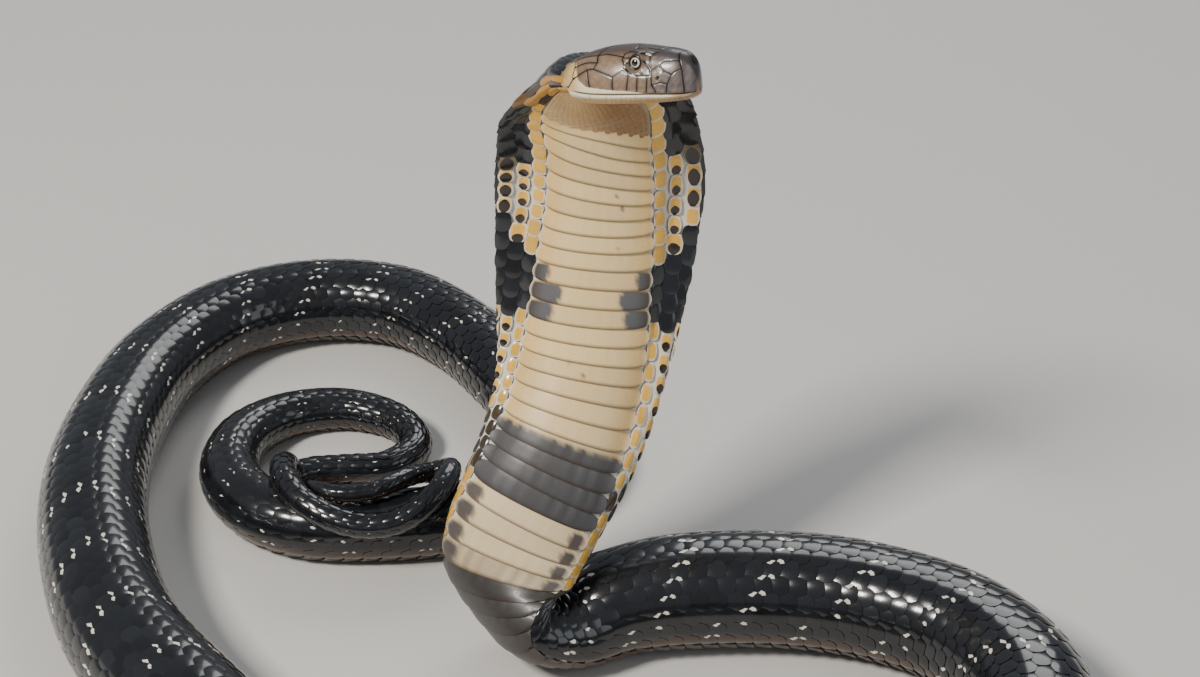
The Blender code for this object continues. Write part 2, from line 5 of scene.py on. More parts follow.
import bpy
import numpy as np
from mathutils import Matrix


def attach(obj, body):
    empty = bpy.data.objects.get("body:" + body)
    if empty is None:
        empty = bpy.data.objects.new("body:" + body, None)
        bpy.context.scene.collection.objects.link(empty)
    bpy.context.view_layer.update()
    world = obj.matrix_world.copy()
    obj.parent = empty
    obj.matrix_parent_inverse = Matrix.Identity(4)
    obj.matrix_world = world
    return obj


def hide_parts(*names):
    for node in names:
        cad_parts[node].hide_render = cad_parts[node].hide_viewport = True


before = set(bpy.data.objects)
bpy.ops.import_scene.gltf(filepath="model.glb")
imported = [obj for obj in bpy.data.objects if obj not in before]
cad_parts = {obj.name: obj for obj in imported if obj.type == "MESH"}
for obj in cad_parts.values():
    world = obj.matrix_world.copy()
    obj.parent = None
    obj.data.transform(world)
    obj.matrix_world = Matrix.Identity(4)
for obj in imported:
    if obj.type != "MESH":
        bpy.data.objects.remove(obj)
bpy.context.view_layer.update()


# Scales of the back and flanks: smooth, rounded six-sided shields in slanting rows, each lying
# over the front of the next. They are small closed shells laid row by row on a surface round the
# line of the body, with fewer rows where it thins behind the hood and along the tail.

# the line of the body runs from the back of the head down the reared part, round the loop on the
# ground and to the tip of the tail, with the size and the facing of the body at every place
PLAN_CENTRE = (-0.0372, 0.0528)  # stands at the middle of the model's plan
HEAD_JOINT = (-0.0040, 0.0060, 0.3667)
JOINT_FORWARD = (0.60, -0.68, 0.42)  # the way that the face between head and neck looks
SPAN_POINTS = 30  # points of the route between two rows of the lists
SINK = 0.0011  # how far the belly is pressed flat on the ground
SKIN_CLEAR = 0.0017  # between the tail's end and the turn that it lies on
TURN_START = 28  # the row of GROUND from which places along the first turn are measured

# x, y, z, half width, half depth, spread as a hood, and which way the belly faces
REARED = [
    (-0.0040, 0.0060, 0.3667, 0.0180, 0.0112, 0.00, 0.02, -0.30, -0.95),
    (-0.0090, 0.0205, 0.3575, 0.0212, 0.0130, 0.06, 0.10, -0.62, -0.78),
    (-0.0060, 0.0350, 0.3440, 0.0395, 0.0140, 0.42, 0.05, -0.80, -0.55),
    (-0.0030, 0.0470, 0.3280, 0.0525, 0.0155, 0.78, 0.02, -0.95, -0.20),
    (-0.0010, 0.0530, 0.3060, 0.0565, 0.0170, 0.95, 0.02, -1.00, 0.05),
    (0.0000, 0.0550, 0.2800, 0.0590, 0.0175, 1.00, 0.00, -1.00, 0.15),
    (-0.0020, 0.0530, 0.2460, 0.0575, 0.0180, 0.95, 0.00, -1.00, 0.15),
    (-0.0050, 0.0460, 0.2140, 0.0545, 0.0190, 0.85, -0.03, -1.00, 0.15),
    (-0.0095, 0.0350, 0.1760, 0.0500, 0.0205, 0.70, -0.08, -1.00, 0.15),
    (-0.0160, 0.0230, 0.1480, 0.0470, 0.0225, 0.50, -0.15, -1.00, 0.10),
    (-0.0265, 0.0110, 0.1210, 0.0452, 0.0245, 0.30, -0.28, -1.00, 0.00),
    (-0.0390, 0.0000, 0.0975, 0.0434, 0.0230, 0.10, -0.36, -1.00, -0.10),
    (-0.0495, -0.0085, 0.0755, 0.0422, 0.0215, 0.00, -0.42, -0.90, -0.30),
    (-0.0540, -0.0155, 0.0540, 0.0408, 0.0205, 0.00, -0.42, -0.75, -0.60),
    (-0.0440, -0.0190, 0.0320, 0.0390, 0.0215, 0.00, -0.25, -0.40, -1.00),
    (-0.0180, -0.0115, 0.0250, 0.0365, 0.0260, 0.00, -0.10, -0.15, -1.00),
]
# x, y and half thickness, on the ground
GROUND = [
    (0.0100, -0.0030, 0.0312), (0.0450, 0.0045, 0.0335), (0.1100, 0.0055, 0.0338),
    (0.1620, -0.0060, 0.0336), (0.2100, -0.0340, 0.0335), (0.2380, -0.0820, 0.0334),
    (0.2340, -0.1400, 0.0334), (0.1950, -0.1900, 0.0335), (0.1300, -0.2200, 0.0336),
    (0.0500, -0.2330, 0.0337), (-0.0250, -0.2290, 0.0338), (-0.0960, -0.2090, 0.0340),
    (-0.1640, -0.1680, 0.0341), (-0.2270, -0.0990, 0.0340), (-0.2740, -0.0330, 0.0338),
    (-0.3010, 0.0380, 0.0335), (-0.3145, 0.1100, 0.0328), (-0.3130, 0.1850, 0.0312),
    (-0.2960, 0.2600, 0.0296), (-0.2560, 0.3180, 0.0290), (-0.2000, 0.3430, 0.0286),
    (-0.1420, 0.3370, 0.0279), (-0.0960, 0.2990, 0.0268), (-0.0580, 0.2400, 0.0257),
    (-0.0300, 0.1930, 0.0250), (-0.0210, 0.1480, 0.0242), (-0.0380, 0.1110, 0.0234),
    (-0.0860, 0.0925, 0.0226), (-0.1360, 0.0850, 0.0216), (-0.1840, 0.0880, 0.0211),
    (-0.2180, 0.1090, 0.0206), (-0.2370, 0.1460, 0.0192), (-0.2330, 0.1870, 0.0174),
    (-0.2070, 0.2170, 0.0154), (-0.1680, 0.2260, 0.0140), (-0.1330, 0.2110, 0.0124),
    (-0.1210, 0.1860, 0.0113), (-0.1370, 0.1660, 0.0103), (-0.1660, 0.1630, 0.0097),
    (-0.1900, 0.1600, 0.0094), (-0.2025, 0.1480, 0.0092),
]
# the end of the tail, on the first turn: metres along it, degrees round it and half thickness
ON_TURN = [
    (0.098, 2.0, 0.0091), (0.083, 36.0, 0.0090), (0.064, 78.0, 0.0089), (0.042, 116.0, 0.0088),
    (0.016, 140.0, 0.0086), (-0.010, 141.0, 0.0083), (-0.030, 120.0, 0.0079),
    (-0.044, 86.0, 0.0074), (-0.047, 56.0, 0.0070), (-0.036, 44.0, 0.0067),
    (-0.018, 72.0, 0.0064), (0.002, 96.0, 0.0061), (0.026, 98.0, 0.0055),
    (0.042, 82.0, 0.0040), (0.050, 72.0, 0.0014),
]


def along_spline(values, count):
    """A smooth curve through rows of values, each span a cubic, with count points to a span."""
    values = np.asarray(values, float)
    step = np.linalg.norm(np.diff(values[:, :3], axis=0), axis=1) ** 0.5
    knots = np.concatenate([[0.0], np.cumsum(step)])
    slope = np.gradient(values, knots, axis=0, edge_order=2)
    places = np.concatenate(
        [np.linspace(knots[i], knots[i + 1], count, endpoint=False) for i in range(len(knots) - 1)]
        + [knots[-1:]]
    )
    span = np.clip(np.searchsorted(knots, places, side="right") - 1, 0, len(knots) - 2)
    width = (knots[span + 1] - knots[span])[:, None]
    t = (places - knots[span])[:, None] / width
    return (
        values[span] * (2 * t**3 - 3 * t**2 + 1)
        + slope[span] * width * (t**3 - 2 * t**2 + t)
        + values[span + 1] * (3 * t**2 - 2 * t**3)
        + slope[span + 1] * width * (t**3 - t**2)
    )


def distance_along(points):
    """How far along a line of points each of them is."""
    steps = np.linalg.norm(np.diff(points[:, :3], axis=0), axis=1)
    return np.concatenate([[0.0], np.cumsum(steps)])


def unit(vectors):
    """The vectors at length one."""
    return vectors / np.maximum(np.linalg.norm(vectors, axis=-1, keepdims=True), 1e-12)


def smooth_step(values, low, high):
    """0 below low, 1 above high and an even S between them."""
    t = np.clip((values - low) / (high - low), 0.0, 1.0)
    return t * t * (3 - 2 * t)


def tail_end_rows():
    """The rows of ON_TURN as rows of the route, set round the axis of the first turn."""
    turn = along_spline([(x, y, half - SINK, half) for x, y, half in GROUND], 40)
    place = distance_along(turn) - distance_along(turn)[TURN_START * 40]
    rows = []
    smooth = along_spline([(along, math.radians(d) * 0.03, half) for along, d, half in ON_TURN], 2)
    for along, angle, half in smooth:
        angle /= 0.03
        centre = np.array([np.interp(along, place, turn[:, k]) for k in range(4)])
        ahead = np.array([np.interp(along + 0.004, place, turn[:, k]) for k in range(2)])
        inward = unit(ahead - centre[:2])
        inward = np.array([inward[1], -inward[0]])
        reach = centre[3] + half + SKIN_CLEAR
        x, y = centre[:2] + inward * math.cos(angle) * reach
        z = max(centre[2] + math.sin(angle) * reach, half - SINK / 2)
        down = (-inward[0] * math.cos(angle), -inward[1] * math.cos(angle), -math.sin(angle) - 0.4)
        rows.append((x, y, z, half, half, 0.0, *down))
    return rows


on_ground = [(x, y, h - SINK, h * 1.02, h, 0.0, 0.0, 0.0, -1.0) for x, y, h in GROUND]
rows = np.array(REARED + on_ground + tail_end_rows())
joint_ahead = unit(np.array(JOINT_FORWARD))
inside_head = rows[0].copy()
inside_head[:3] = rows[1, :3] + 2 * joint_ahead.dot(rows[0, :3] - rows[1, :3]) * joint_ahead
rows = np.vstack([inside_head, rows])
rows[:, :2] -= PLAN_CENTRE
route = along_spline(rows, SPAN_POINTS)
route_at = distance_along(route) - distance_along(route)[SPAN_POINTS]
LENGTH = route_at[-1]
TAIL_START = route_at[(len(REARED) + TURN_START - 1) * SPAN_POINTS]

STATION = 0.0025  # between two stations of the surfaces
stations = np.arange(0.0, LENGTH, STATION)
axis = np.stack([np.interp(stations, route_at, route[:, k]) for k in range(3)], axis=1)
sizes = np.stack([np.interp(stations, route_at, route[:, k]) for k in range(3, 6)], axis=1)
tailward = unit(np.gradient(axis, axis=0))
belly_way = np.stack([np.interp(stations, route_at, route[:, k]) for k in range(6, 9)], axis=1)
belly_way = unit(belly_way - (belly_way * tailward).sum(1)[:, None] * tailward)
across_way = np.cross(belly_way, tailward)
inset = np.minimum(0.0010, 0.11 * sizes[:, 0])  # how deep the skin lies under the tops of scales


def skin_surface(turn):
    """Points of the skin at an array of angles for every station, 0 at the belly's middle.

    A section is an oval, or with spread a rounded belly between two thin flanges. The skin lies
    inset from it by the height of the scales, and by half the thickness where it is thin.
    """
    half_width, half_depth, spread = [sizes[:, k : k + 1] for k in range(3)]
    side, down = np.sin(turn), np.cos(turn)
    oval_side = half_width * np.sign(side) * np.abs(side) ** 0.92
    oval_down = half_depth * np.sign(down) * np.abs(down) ** 0.92
    reach = np.abs(side) ** 1.15
    core = np.clip(1.0 - (reach / 0.72) ** 2.2, 0.0, 1.0)
    thick = half_depth * core + 0.0030 * (1.0 - reach**6) + 0.0006
    middle = 0.0085 * np.clip(reach - 0.35, 0.0, 1.0) ** 1.4 * spread
    hood_down = np.sign(down) * thick * np.minimum(1.0, np.abs(down) * 3.0)
    out = oval_side * (1 - spread) + half_width * np.sign(side) * reach * spread
    off = oval_down * (1 - spread) + hood_down * spread
    deep = inset[:, None]
    out = out * (1.0 - deep / half_width)
    off = off * (1.0 - deep / np.maximum(np.abs(off), 2 * deep))
    chin_drop = 0.0024 * (1.0 - smooth_step(stations, 0.0, 0.016))[:, None]
    points = (
        axis[:, None, :]
        + out[:, :, None] * across_way[:, None, :]
        + (off + middle + chin_drop)[:, :, None] * belly_way[:, None, :]
    )
    points[:, :, 2] = np.maximum(points[:, :, 2], 0.0009)
    return points


def evenly_round(first, last, count):
    """Angles at count places evenly spaced along the skin from the angle first to last."""
    share = np.linspace(0.0, 1.0, 181)[None, :]
    turn = first[:, None] + (last - first)[:, None] * share
    points = skin_surface(turn)
    steps = np.linalg.norm(np.diff(points, axis=1), axis=2)
    along = np.hstack([np.zeros((len(steps), 1)), np.cumsum(steps, axis=1)])
    wanted = np.linspace(0.0, 1.0, count)
    even = np.stack([np.interp(wanted * a[-1], a, t) for a, t in zip(along, turn)])
    return even, along[:, -1]


def make_surface(first, last, count):
    """A patch of skin over every station: its points, outward normals and width across."""
    turn, width = evenly_round(first, last, count)
    points = skin_surface(turn)
    normals = unit(np.cross(np.gradient(points, axis=0), np.gradient(points, axis=1)))
    return {"points": points, "normals": normals, "width": width, "turn": turn}


def on_surface(surface, place, share):
    """Points and normals at distances down the body and shares of the way across a surface."""
    columns = surface["points"].shape[1]
    i = np.clip(place / STATION, 0.0, len(stations) - 1.001)
    j = np.clip(share, 0.0, 1.0) * (columns - 1) * 0.999999
    i0, j0 = i.astype(int), j.astype(int)
    u, v = (i - i0)[..., None], (j - j0)[..., None]
    out = []
    for grid in (surface["points"], surface["normals"]):
        out.append(
            grid[i0, j0] * (1 - u) * (1 - v) + grid[i0 + 1, j0] * u * (1 - v)
            + grid[i0, j0 + 1] * (1 - u) * v + grid[i0 + 1, j0 + 1] * u * v
        )
    return out[0], unit(out[1])


# half of the angle that the belly scutes take: metres down the body, degrees
SCUTE_REACH = [
    (0.0, 52.0), (0.05, 37.0), (0.08, 32.5), (0.12, 33.0), (0.18, 41.0), (0.28, 57.0),
    (0.38, 70.0), (0.45, 60.0), (0.60, 56.0), (2.2, 54.0), (3.1, 50.0),
]
scute_half = np.radians(np.interp(stations, *np.transpose(SCUTE_REACH)))
flank = make_surface(scute_half, 2 * math.pi - scute_half, 121)


# the markings are formulas of the distance down the body and the place round it, which the scales,
# the scutes and the skin under them share

def blend(first, second, share):
    """Mixes two arrays of colours by a share from 0 to 1."""
    share = np.clip(share, 0.0, 1.0)[..., None]
    return np.asarray(first) * (1 - share) + np.asarray(second) * share


BLACK = (0.0065, 0.0070, 0.0085)
BLUE_GREY = (0.078, 0.088, 0.106)
WHITE = (0.74, 0.70, 0.61)
YELLOW = (0.76, 0.42, 0.060)
ORANGE = (0.46, 0.22, 0.030)
BROWN = (0.050, 0.026, 0.014)
UMBER = (0.085, 0.040, 0.018)
SPOT_BROWN = (0.020, 0.011, 0.010)

# metres down the body where markings start and end
NECK_END = 0.034
SHOULDER = (0.026, 0.094)
SIDE_BAND = (0.134, 0.193)
SCUTE_BAND = (0.2625, 0.2985)
REARED_END = 0.355
# length of a scute by the distance down the body, in metres
PITCH = [
    (0.0, 0.0112), (0.335, 0.0112), (0.352, 0.0080), (0.395, 0.0072), (0.42, 0.0112), (2.2, 0.0112),
    (2.5, 0.0098), (2.8, 0.0082), (3.1, 0.0060),
]
scute_count = np.concatenate(
    [[0.0], np.cumsum(STATION / np.interp(stations[:-1], *np.transpose(PITCH)))]
)


def window(values, low, high, soft):
    """1 between low and high, fading out over soft at both ends."""
    return smooth_step(values, low - soft, low + soft) * (1 - smooth_step(values, high - soft, high + soft))


def in_side_band(place, rows_up):
    """Whether a scale is in the black band on the hood's flanks, which slants at its front."""
    outwards = rows_up - 2.5
    return (place + 0.010 * outwards > SIDE_BAND[0]) & (place - 0.003 * outwards < SIDE_BAND[1])


def flank_colour(place, rows_up, tail_half, across, chance):
    """Colour of the scales of the flanks and back.

    rows_up counts rows from the end of the belly scutes, tail_half is 0 at the front and 1 at the
    rear of a scale, across is -1 and 1 at its sides and chance is a number for the scale.
    """
    edge = np.maximum(np.abs(2 * tail_half - 1), np.abs(across))
    count = np.interp(place, stations, scute_count)
    tone = blend(BLACK, BLUE_GREY, 0.10 * chance)
    colour = np.broadcast_to(tone, (*place.shape, 3)).copy()
    # the lowest row on the ground shows tan where it meets the belly
    lowest = 1 - smooth_step(rows_up, 0.3, 1.1)
    colour = blend(colour, UMBER, 0.7 * lowest * smooth_step(place, 0.38, 0.45))
    # reared part: yellow scales with white rims next to the scutes, with larger dark spots outwards
    near = 1 - smooth_step(rows_up, 2.6, 3.4)
    spotted = blend(YELLOW, WHITE, smooth_step(edge, 0.70, 1.0))
    front_part = near * (1 - smooth_step(place, REARED_END - 0.005, REARED_END + 0.005))
    shoulder = window(place, *SHOULDER, 0.004) * smooth_step(rows_up, 0.75, 0.95)
    front = blend(spotted, tone, np.maximum(shoulder, in_side_band(place, rows_up)))
    neck = 1 - smooth_step(place, NECK_END - 0.006, NECK_END + 0.006)
    neck_row = blend(ORANGE, BROWN, smooth_step(np.mod(rows_up * 0.5 + count * 0.31, 1.0), 0.60, 0.80))
    front = blend(front, neck_row, neck)
    low_bands = window(place, 0.258, 0.300, 0.003) + smooth_step(place, 0.335, 0.345)
    front = blend(front, tone, 0.95 * low_bands * (chance > 0.25))
    return blend(colour, front, front_part)


def dash_field(place, rows_up, tail_half, across, chance):
    """Above 0.59 where a scale has a pale dash: along its sides, in some rows only.

    The rows with dashes form narrow chevrons that point to the head, closer together towards the
    tail. On the back of the hood they are fewer.
    """
    count = np.interp(place, stations, scute_count)
    period = np.interp(place, [0.3, 0.45, 1.2, 1.6, 2.1], [7.0, 5.0, 5.0, 5.0, 4.0])
    in_band = np.mod(np.floor(count - 0.55 * rows_up), np.round(period)) < 1.0
    on_back = (rows_up > 3.6) | (place > 0.385)
    along = np.clip(4.0 * np.minimum(tail_half - 0.12, 0.88 - tail_half), 0.0, 1.0)
    reach = np.interp(place, [0.4, 1.6, 2.2, 2.7], [1.30, 1.22, 1.00, 0.84]) - 0.22 * chance
    return in_band * on_back * along * reach * np.abs(across) * (chance > 0.08)


def spot_field(place, rows_up, tail_half, across, chance):
    """Above 0.59 in the dark spot on the rear of a scale on the front of the hood.

    The spots are small in the second row from the scutes and take most of a scale in the third.
    """
    spot_at = np.interp(rows_up, [1.0, 1.5, 2.5], [1.4, 0.78, 0.64]) + 0.10 * (chance - 0.5)
    spot_long = np.interp(rows_up, [1.5, 2.5], [0.27, 0.46])
    spot = np.hypot((tail_half - spot_at) / spot_long, across / 0.78)
    spotted = (rows_up < 2.6) & (place > 0.088) & (place < 0.352) & ~in_side_band(place, rows_up)
    return np.clip(1.59 - spot, 0.0, 1.0) * spotted * (chance > 0.06)


def build_mesh(name, points, faces, colours, uv):
    """A mesh object from arrays. faces is a list of arrays with 3 or more corners to a face.

    colours may have a fourth column, the field of the dashes or of the seams between shields,
    which is below zero for dark spots.
    """
    mesh = bpy.data.meshes.new(name)
    loops = np.concatenate([block.ravel() for block in faces]).astype(np.int32)
    sides = np.concatenate([np.full(len(block), block.shape[1]) for block in faces])
    starts = np.concatenate([[0], np.cumsum(sides)[:-1]]).astype(np.int32)
    mesh.vertices.add(len(points))
    mesh.vertices.foreach_set("co", np.asarray(points, np.float32).ravel())
    mesh.loops.add(len(loops))
    mesh.loops.foreach_set("vertex_index", loops)
    mesh.polygons.add(len(sides))
    mesh.polygons.foreach_set("loop_start", starts)
    mesh.update(calc_edges=True)
    mesh.validate()
    mesh.shade_smooth()
    paint = mesh.color_attributes.new("Paint", "FLOAT_COLOR", "POINT")
    colours = np.hstack([colours, np.zeros((len(colours), 1))])[:, :4]
    paint.data.foreach_set("color", colours.astype(np.float32).ravel())
    layer = mesh.uv_layers.new(name="OFBake")
    order = np.empty(len(mesh.loops), np.int32)
    mesh.loops.foreach_get("vertex_index", order)
    layer.data.foreach_set("uv", uv[order].astype(np.float32).ravel())
    thing = bpy.data.objects.new(name, mesh)
    bpy.context.scene.collection.objects.link(thing)
    return thing


def shell_pattern(long, wide):
    """One shell's grid of places, the places over its floor's points, and its faces.

    The floor has a point under each of the rim's and one under the middle, so it bends with the top.
    """
    g, h = np.meshgrid(np.linspace(-1, 1, long), np.linspace(-1, 1, wide), indexing="ij")
    number = np.arange(long * wide).reshape(long, wide)
    a, b = number[:-1, :-1].ravel(), number[1:, :-1].ravel()
    c, d = number[1:, 1:].ravel(), number[:-1, 1:].ravel()
    rim = np.concatenate([number[0, :-1], number[:-1, -1], number[-1, :0:-1], number[:0:-1, 0]])
    under = long * wide + np.arange(len(rim))
    top = np.stack([a, b, c, d], axis=1)
    walls = np.stack([rim, np.roll(rim, -1), np.roll(under, -1), under], axis=1)
    centre = np.full(len(rim) // 2, under[-1] + 1)
    floor = np.stack([centre, under[::2], under[1::2], np.roll(under, -2)[::2]], axis=1)
    low = np.append(rim, number[long // 2, wide // 2])
    return g.ravel(), h.ravel(), low, top, walls, floor


def shell_mesh(name, pattern, points, normals, height, depth, tint, shade, draw_in, lowest, root, patch):
    """One piece of closed shells, each with a small patch of its own on the unwrap of the body.

    Their tops are points raised by height along normals. Their floors lie 0.7 of depth under the
    points, drawn in to the middle by a share, with colours of the top times shade. No point is
    Their tops are points raised by height along normals. Their floors lie 0.7 of depth under the
    points, drawn in to the middle by a share, with colours of the top times shade, a painted shade
    on the walls down to the floor. No point is under lowest. root is a shell's place on the unwrap
    and patch the half size of its part of it.
    """
    g, h, low, top, walls, floor = pattern
    low_points = points[:, low] - normals[:, low] * (0.7 * depth)[..., None]
    low_points += draw_in * (points.mean(1)[:, None, :] - low_points)
    shells = np.concatenate([points + normals * height[..., None], low_points], axis=1)
    shells[..., 2] = np.maximum(shells[..., 2], lowest)
    # painted shade: the floor, and the walls down to it, take the top's colours darkened by shade
    tint = np.concatenate([tint, tint[:, low] * shade], axis=1)
    own = np.stack([np.concatenate([g, g[low]]), np.concatenate([h, h[low]])], axis=1) * patch
    uv = root[:, None, :] + own[None, :, :]
    first = (np.arange(len(shells)) * shells.shape[1])[:, None, None]
    faces = [(first + block[None]).reshape(-1, block.shape[1]) for block in (top, walls, floor)]
    return build_mesh(
        name, shells.reshape(-1, 3), faces, tint.reshape(-1, tint.shape[-1]), uv.reshape(-1, 2)
    )


def unwrapped(place, round_share):
    """Where a root lies on the unwrap: down the body by how far round it."""
    return np.stack([0.01 + 0.97 * place / LENGTH, 0.01 + 0.97 * round_share], axis=-1)


# the rows of scales: where each scale lies, and its size
ROWS = 19
HOOD_ROWS, BODY_ROWS, TAIL_ROWS = (2, 3, 15, 16), (5, 6, 12, 13), (7, 8, 10, 11)
row_weight = np.ones((ROWS, len(stations)))
row_weight[list(HOOD_ROWS)] = 1 - smooth_step(stations, 0.27, 0.33)
row_weight[list(BODY_ROWS)] = 1 - smooth_step(stations, TAIL_START - 0.02, TAIL_START + 0.12)
row_weight[list(TAIL_ROWS)] = 1 - smooth_step(stations, TAIL_START + 0.38, TAIL_START + 0.50)
row_total = row_weight.sum(0)
row_middle = (np.cumsum(row_weight, axis=0) - row_weight / 2) / row_total
scute_total = int(scute_count[-1])

scale_row, scale_number = np.meshgrid(np.arange(ROWS), np.arange(scute_total), indexing="ij")
scale_row, scale_number = scale_row.ravel(), scale_number.ravel()
scale_at = np.interp(scale_number + 0.25 + 0.5 * (scale_row % 2), scute_count, stations)
weight = np.array([np.interp(p, stations, row_weight[r]) for p, r in zip(scale_at, scale_row)])
keep = (weight > 0.33) & (scale_at < LENGTH - 0.006)
scale_row, scale_at, weight = scale_row[keep], scale_at[keep], weight[keep]
chance = np.random.default_rng(11).random((len(scale_at), 3))
share_at = np.array([np.interp(p, stations, row_middle[r]) for p, r in zip(scale_at, scale_row)])
share_half = 0.5 * weight / np.interp(scale_at, stations, row_total)
pitch = np.interp(scale_at, *np.transpose(PITCH))
rows_up = np.minimum(scale_row, ROWS - 1 - scale_row) + 0.5

# on the front of the hood the scales are small and stand apart on bare skin
apart = (1 - smooth_step(rows_up, 2.4, 3.6)) * window(scale_at, 0.092, 0.30, 0.02)
apart *= 1 - 0.8 * window(scale_at, 0.136, 0.192, 0.006)
long_half = pitch * (0.62 - 0.15 * apart)
wide_half = share_half * (1.22 - 0.38 * apart) * (0.97 + 0.06 * chance[:, 1])


def lay_scales(name, surface, middle, share_middle, half_long, half_wide, tone, side, rise, colour_of):
    """One piece of scales: shields of side by side places, laid on a surface round their middles.

    Each rises from under the ones before it to its rear edge, swells a little in its middle and
    has a lowered rim, all times rise. colour_of gives the colours, and how far they are dashes, of
    an array of places from 0 to 1 along a scale and from -1 to 1 across it.
    """
    pattern = shell_pattern(side, side)
    g, h = pattern[:2]
    round_g = g * np.sqrt(1 - 0.36 * h**2)  # rounds the square into a shield
    round_h = h * np.sqrt(1 - 0.44 * g**2)
    place = middle[:, None] + half_long[:, None] * round_g
    share = np.clip(share_middle[:, None] + half_wide[:, None] * round_h, 0.006, 0.994)
    depth = np.interp(middle, stations, inset)[:, None]
    rear = (g[None, :] + 1) / 2 + 0 * place
    edge = np.maximum(np.abs(g), np.abs(h))[None, :]
    height = -0.10 + 0.86 * rear**0.8 + 0.26 * (1 - g**2) * (1 - h**2) - 0.22 * (edge > 0.99)
    height = depth * (0.4 * (1 - rise) + rise * height)
    points, normals = on_surface(surface, place, share)
    tint, dashes = colour_of(rear, h[None, :] + 0 * place)
    tint = np.concatenate([tint * tone[:, None, None], dashes[..., None]], axis=-1)
    # painted shade: each scale's walls darken to 0.35 of its colours at the floor
    return shell_mesh(
        name, pattern, points, normals, height, depth, tint, 0.35, 0.12, 0.0003,
        unwrapped(middle, 0.25 + 0.70 * share_middle), 0.0014,
    )


def painted_finish():
    """The group of nodes that all the finishes share.

    It puts out the painted colour, with Line Colour laid over it where the paint's fourth value is
    over 0.59 and a dark brown where it is under -0.59, both with a crisp edge. Fine noise scales
    the colour by 1 - Grain to 1 + Grain, shifts Roughness by 0.07 each way and is the Height.
    """
    group = bpy.data.node_groups.new("painted finish", "ShaderNodeTree")
    for name, kind in (
        ("Line Colour", "Color"), ("Grain", "Float"), ("Noise Scale", "Float"), ("Roughness", "Float"),
    ):
        group.interface.new_socket(name, in_out="INPUT", socket_type="NodeSocket" + kind)
    for name, kind in (("Colour", "Color"), ("Roughness", "Float"), ("Height", "Float")):
        group.interface.new_socket(name, in_out="OUTPUT", socket_type="NodeSocket" + kind)

    def add(kind, values, **settings):
        """Adds a node with settings, its inputs set to values or linked, and gives its outputs."""
        node = group.nodes.new(kind)
        for key, value in settings.items():
            setattr(node, key, value)
        for key, value in values.items():
            if isinstance(value, bpy.types.NodeSocket):
                group.links.new(value, node.inputs[key])
            else:
                node.inputs[key].default_value = value
        return node.outputs

    given = add("NodeGroupInput", {})
    paint = add("ShaderNodeAttribute", {}, attribute_name="Paint")
    place = add("ShaderNodeTexCoord", {})["Object"]
    noise = add(
        "ShaderNodeTexNoise", {"Vector": place, "Scale": given["Noise Scale"], "Detail": 3.0},
    )["Fac"]
    colour = paint["Color"]
    for sign, laid_over in ((1.0, given["Line Colour"]), (-1.0, (*SPOT_BROWN, 1.0))):
        share = add("ShaderNodeMapRange", {
            "Value": paint["Alpha"], "From Min": sign * 0.56, "From Max": sign * 0.62,
        })["Result"]
        colour = add(
            "ShaderNodeMix", {"Factor": share, "A": colour, "B": laid_over}, data_type="RGBA",
        )["Result"]
    swing = add("ShaderNodeMapRange", {"Value": noise, "To Min": -1.0, "To Max": 1.0})["Result"]
    tone = add("ShaderNodeMath", {0: swing, 1: given["Grain"], 2: 1.0}, operation="MULTIPLY_ADD")[0]
    colour = add("ShaderNodeVectorMath", {0: colour, "Scale": tone}, operation="SCALE")["Vector"]
    gloss = add("ShaderNodeMath", {0: swing, 1: 0.07, 2: given["Roughness"]}, operation="MULTIPLY_ADD")[0]
    add("NodeGroupOutput", {"Colour": colour, "Roughness": gloss, "Height": noise})
    return group


PAINTED_FINISH = painted_finish()


def painted_material(name, roughness, coat, grain, relief, noise_scale, line_colour=WHITE):
    """The painted finish at a roughness, under a clear coat, with grain and relief of one scale."""
    material = bpy.data.materials.new(name)
    material.use_nodes = True
    tree = material.node_tree
    shader = tree.nodes["Principled BSDF"]
    shader.inputs["Coat Weight"].default_value = coat
    shader.inputs["Coat Roughness"].default_value = 0.08
    shader.inputs["IOR"].default_value = 1.5
    finish = tree.nodes.new("ShaderNodeGroup")
    finish.node_tree = PAINTED_FINISH
    finish.inputs["Line Colour"].default_value = (*line_colour, 1.0)
    finish.inputs["Grain"].default_value = grain
    finish.inputs["Noise Scale"].default_value = noise_scale
    finish.inputs["Roughness"].default_value = roughness
    tree.links.new(finish.outputs["Colour"], shader.inputs["Base Color"])
    tree.links.new(finish.outputs["Roughness"], shader.inputs["Roughness"])
    if relief:
        bump = tree.nodes.new("ShaderNodeBump")
        bump.inputs["Strength"].default_value = relief
        bump.inputs["Distance"].default_value = 0.0003
        tree.links.new(finish.outputs["Height"], bump.inputs["Height"])
        tree.links.new(bump.outputs["Normal"], shader.inputs["Normal"])
    return material


def cover(piece, material):
    """Gives a piece its material, with a crease where its faces meet at over 55 degrees."""
    piece.data.materials.append(material)
    piece.data.set_sharp_from_angle(angle=math.radians(55))


scale_gloss = painted_material("glossy scales", 0.22, 0.45, 0.25, 0.10, 900.0)
# name, first and last place down the body, and places along each side of a scale's grid
AREAS = [
    ("hood_scales", 0.0, 0.40, 7), ("front_body_scales", 0.40, 1.30, 5),
    ("rear_body_scales", 1.30, TAIL_START, 5), ("tail_scales", TAIL_START, LENGTH, 5),
]
for name, start, end, side in AREAS:
    use = (scale_at >= start) & (scale_at < end)

    def colour_of(rear, across):
        """Colours, dashes and spots of these scales, by their own place, row and chance."""
        own = (
            scale_at[use][:, None] + 0 * rear, rows_up[use][:, None] + 0 * rear, rear, across,
            chance[use, :1] + 0 * rear,
        )
        return flank_colour(*own), dash_field(*own) - spot_field(*own)

    scales = lay_scales(
        name, flank, scale_at[use], share_at[use], long_half[use], wide_half[use],
        0.85 + 0.3 * chance[use, 2], side, 1.0, colour_of,
    )
    cover(scales, scale_gloss)
    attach(scales, "root")


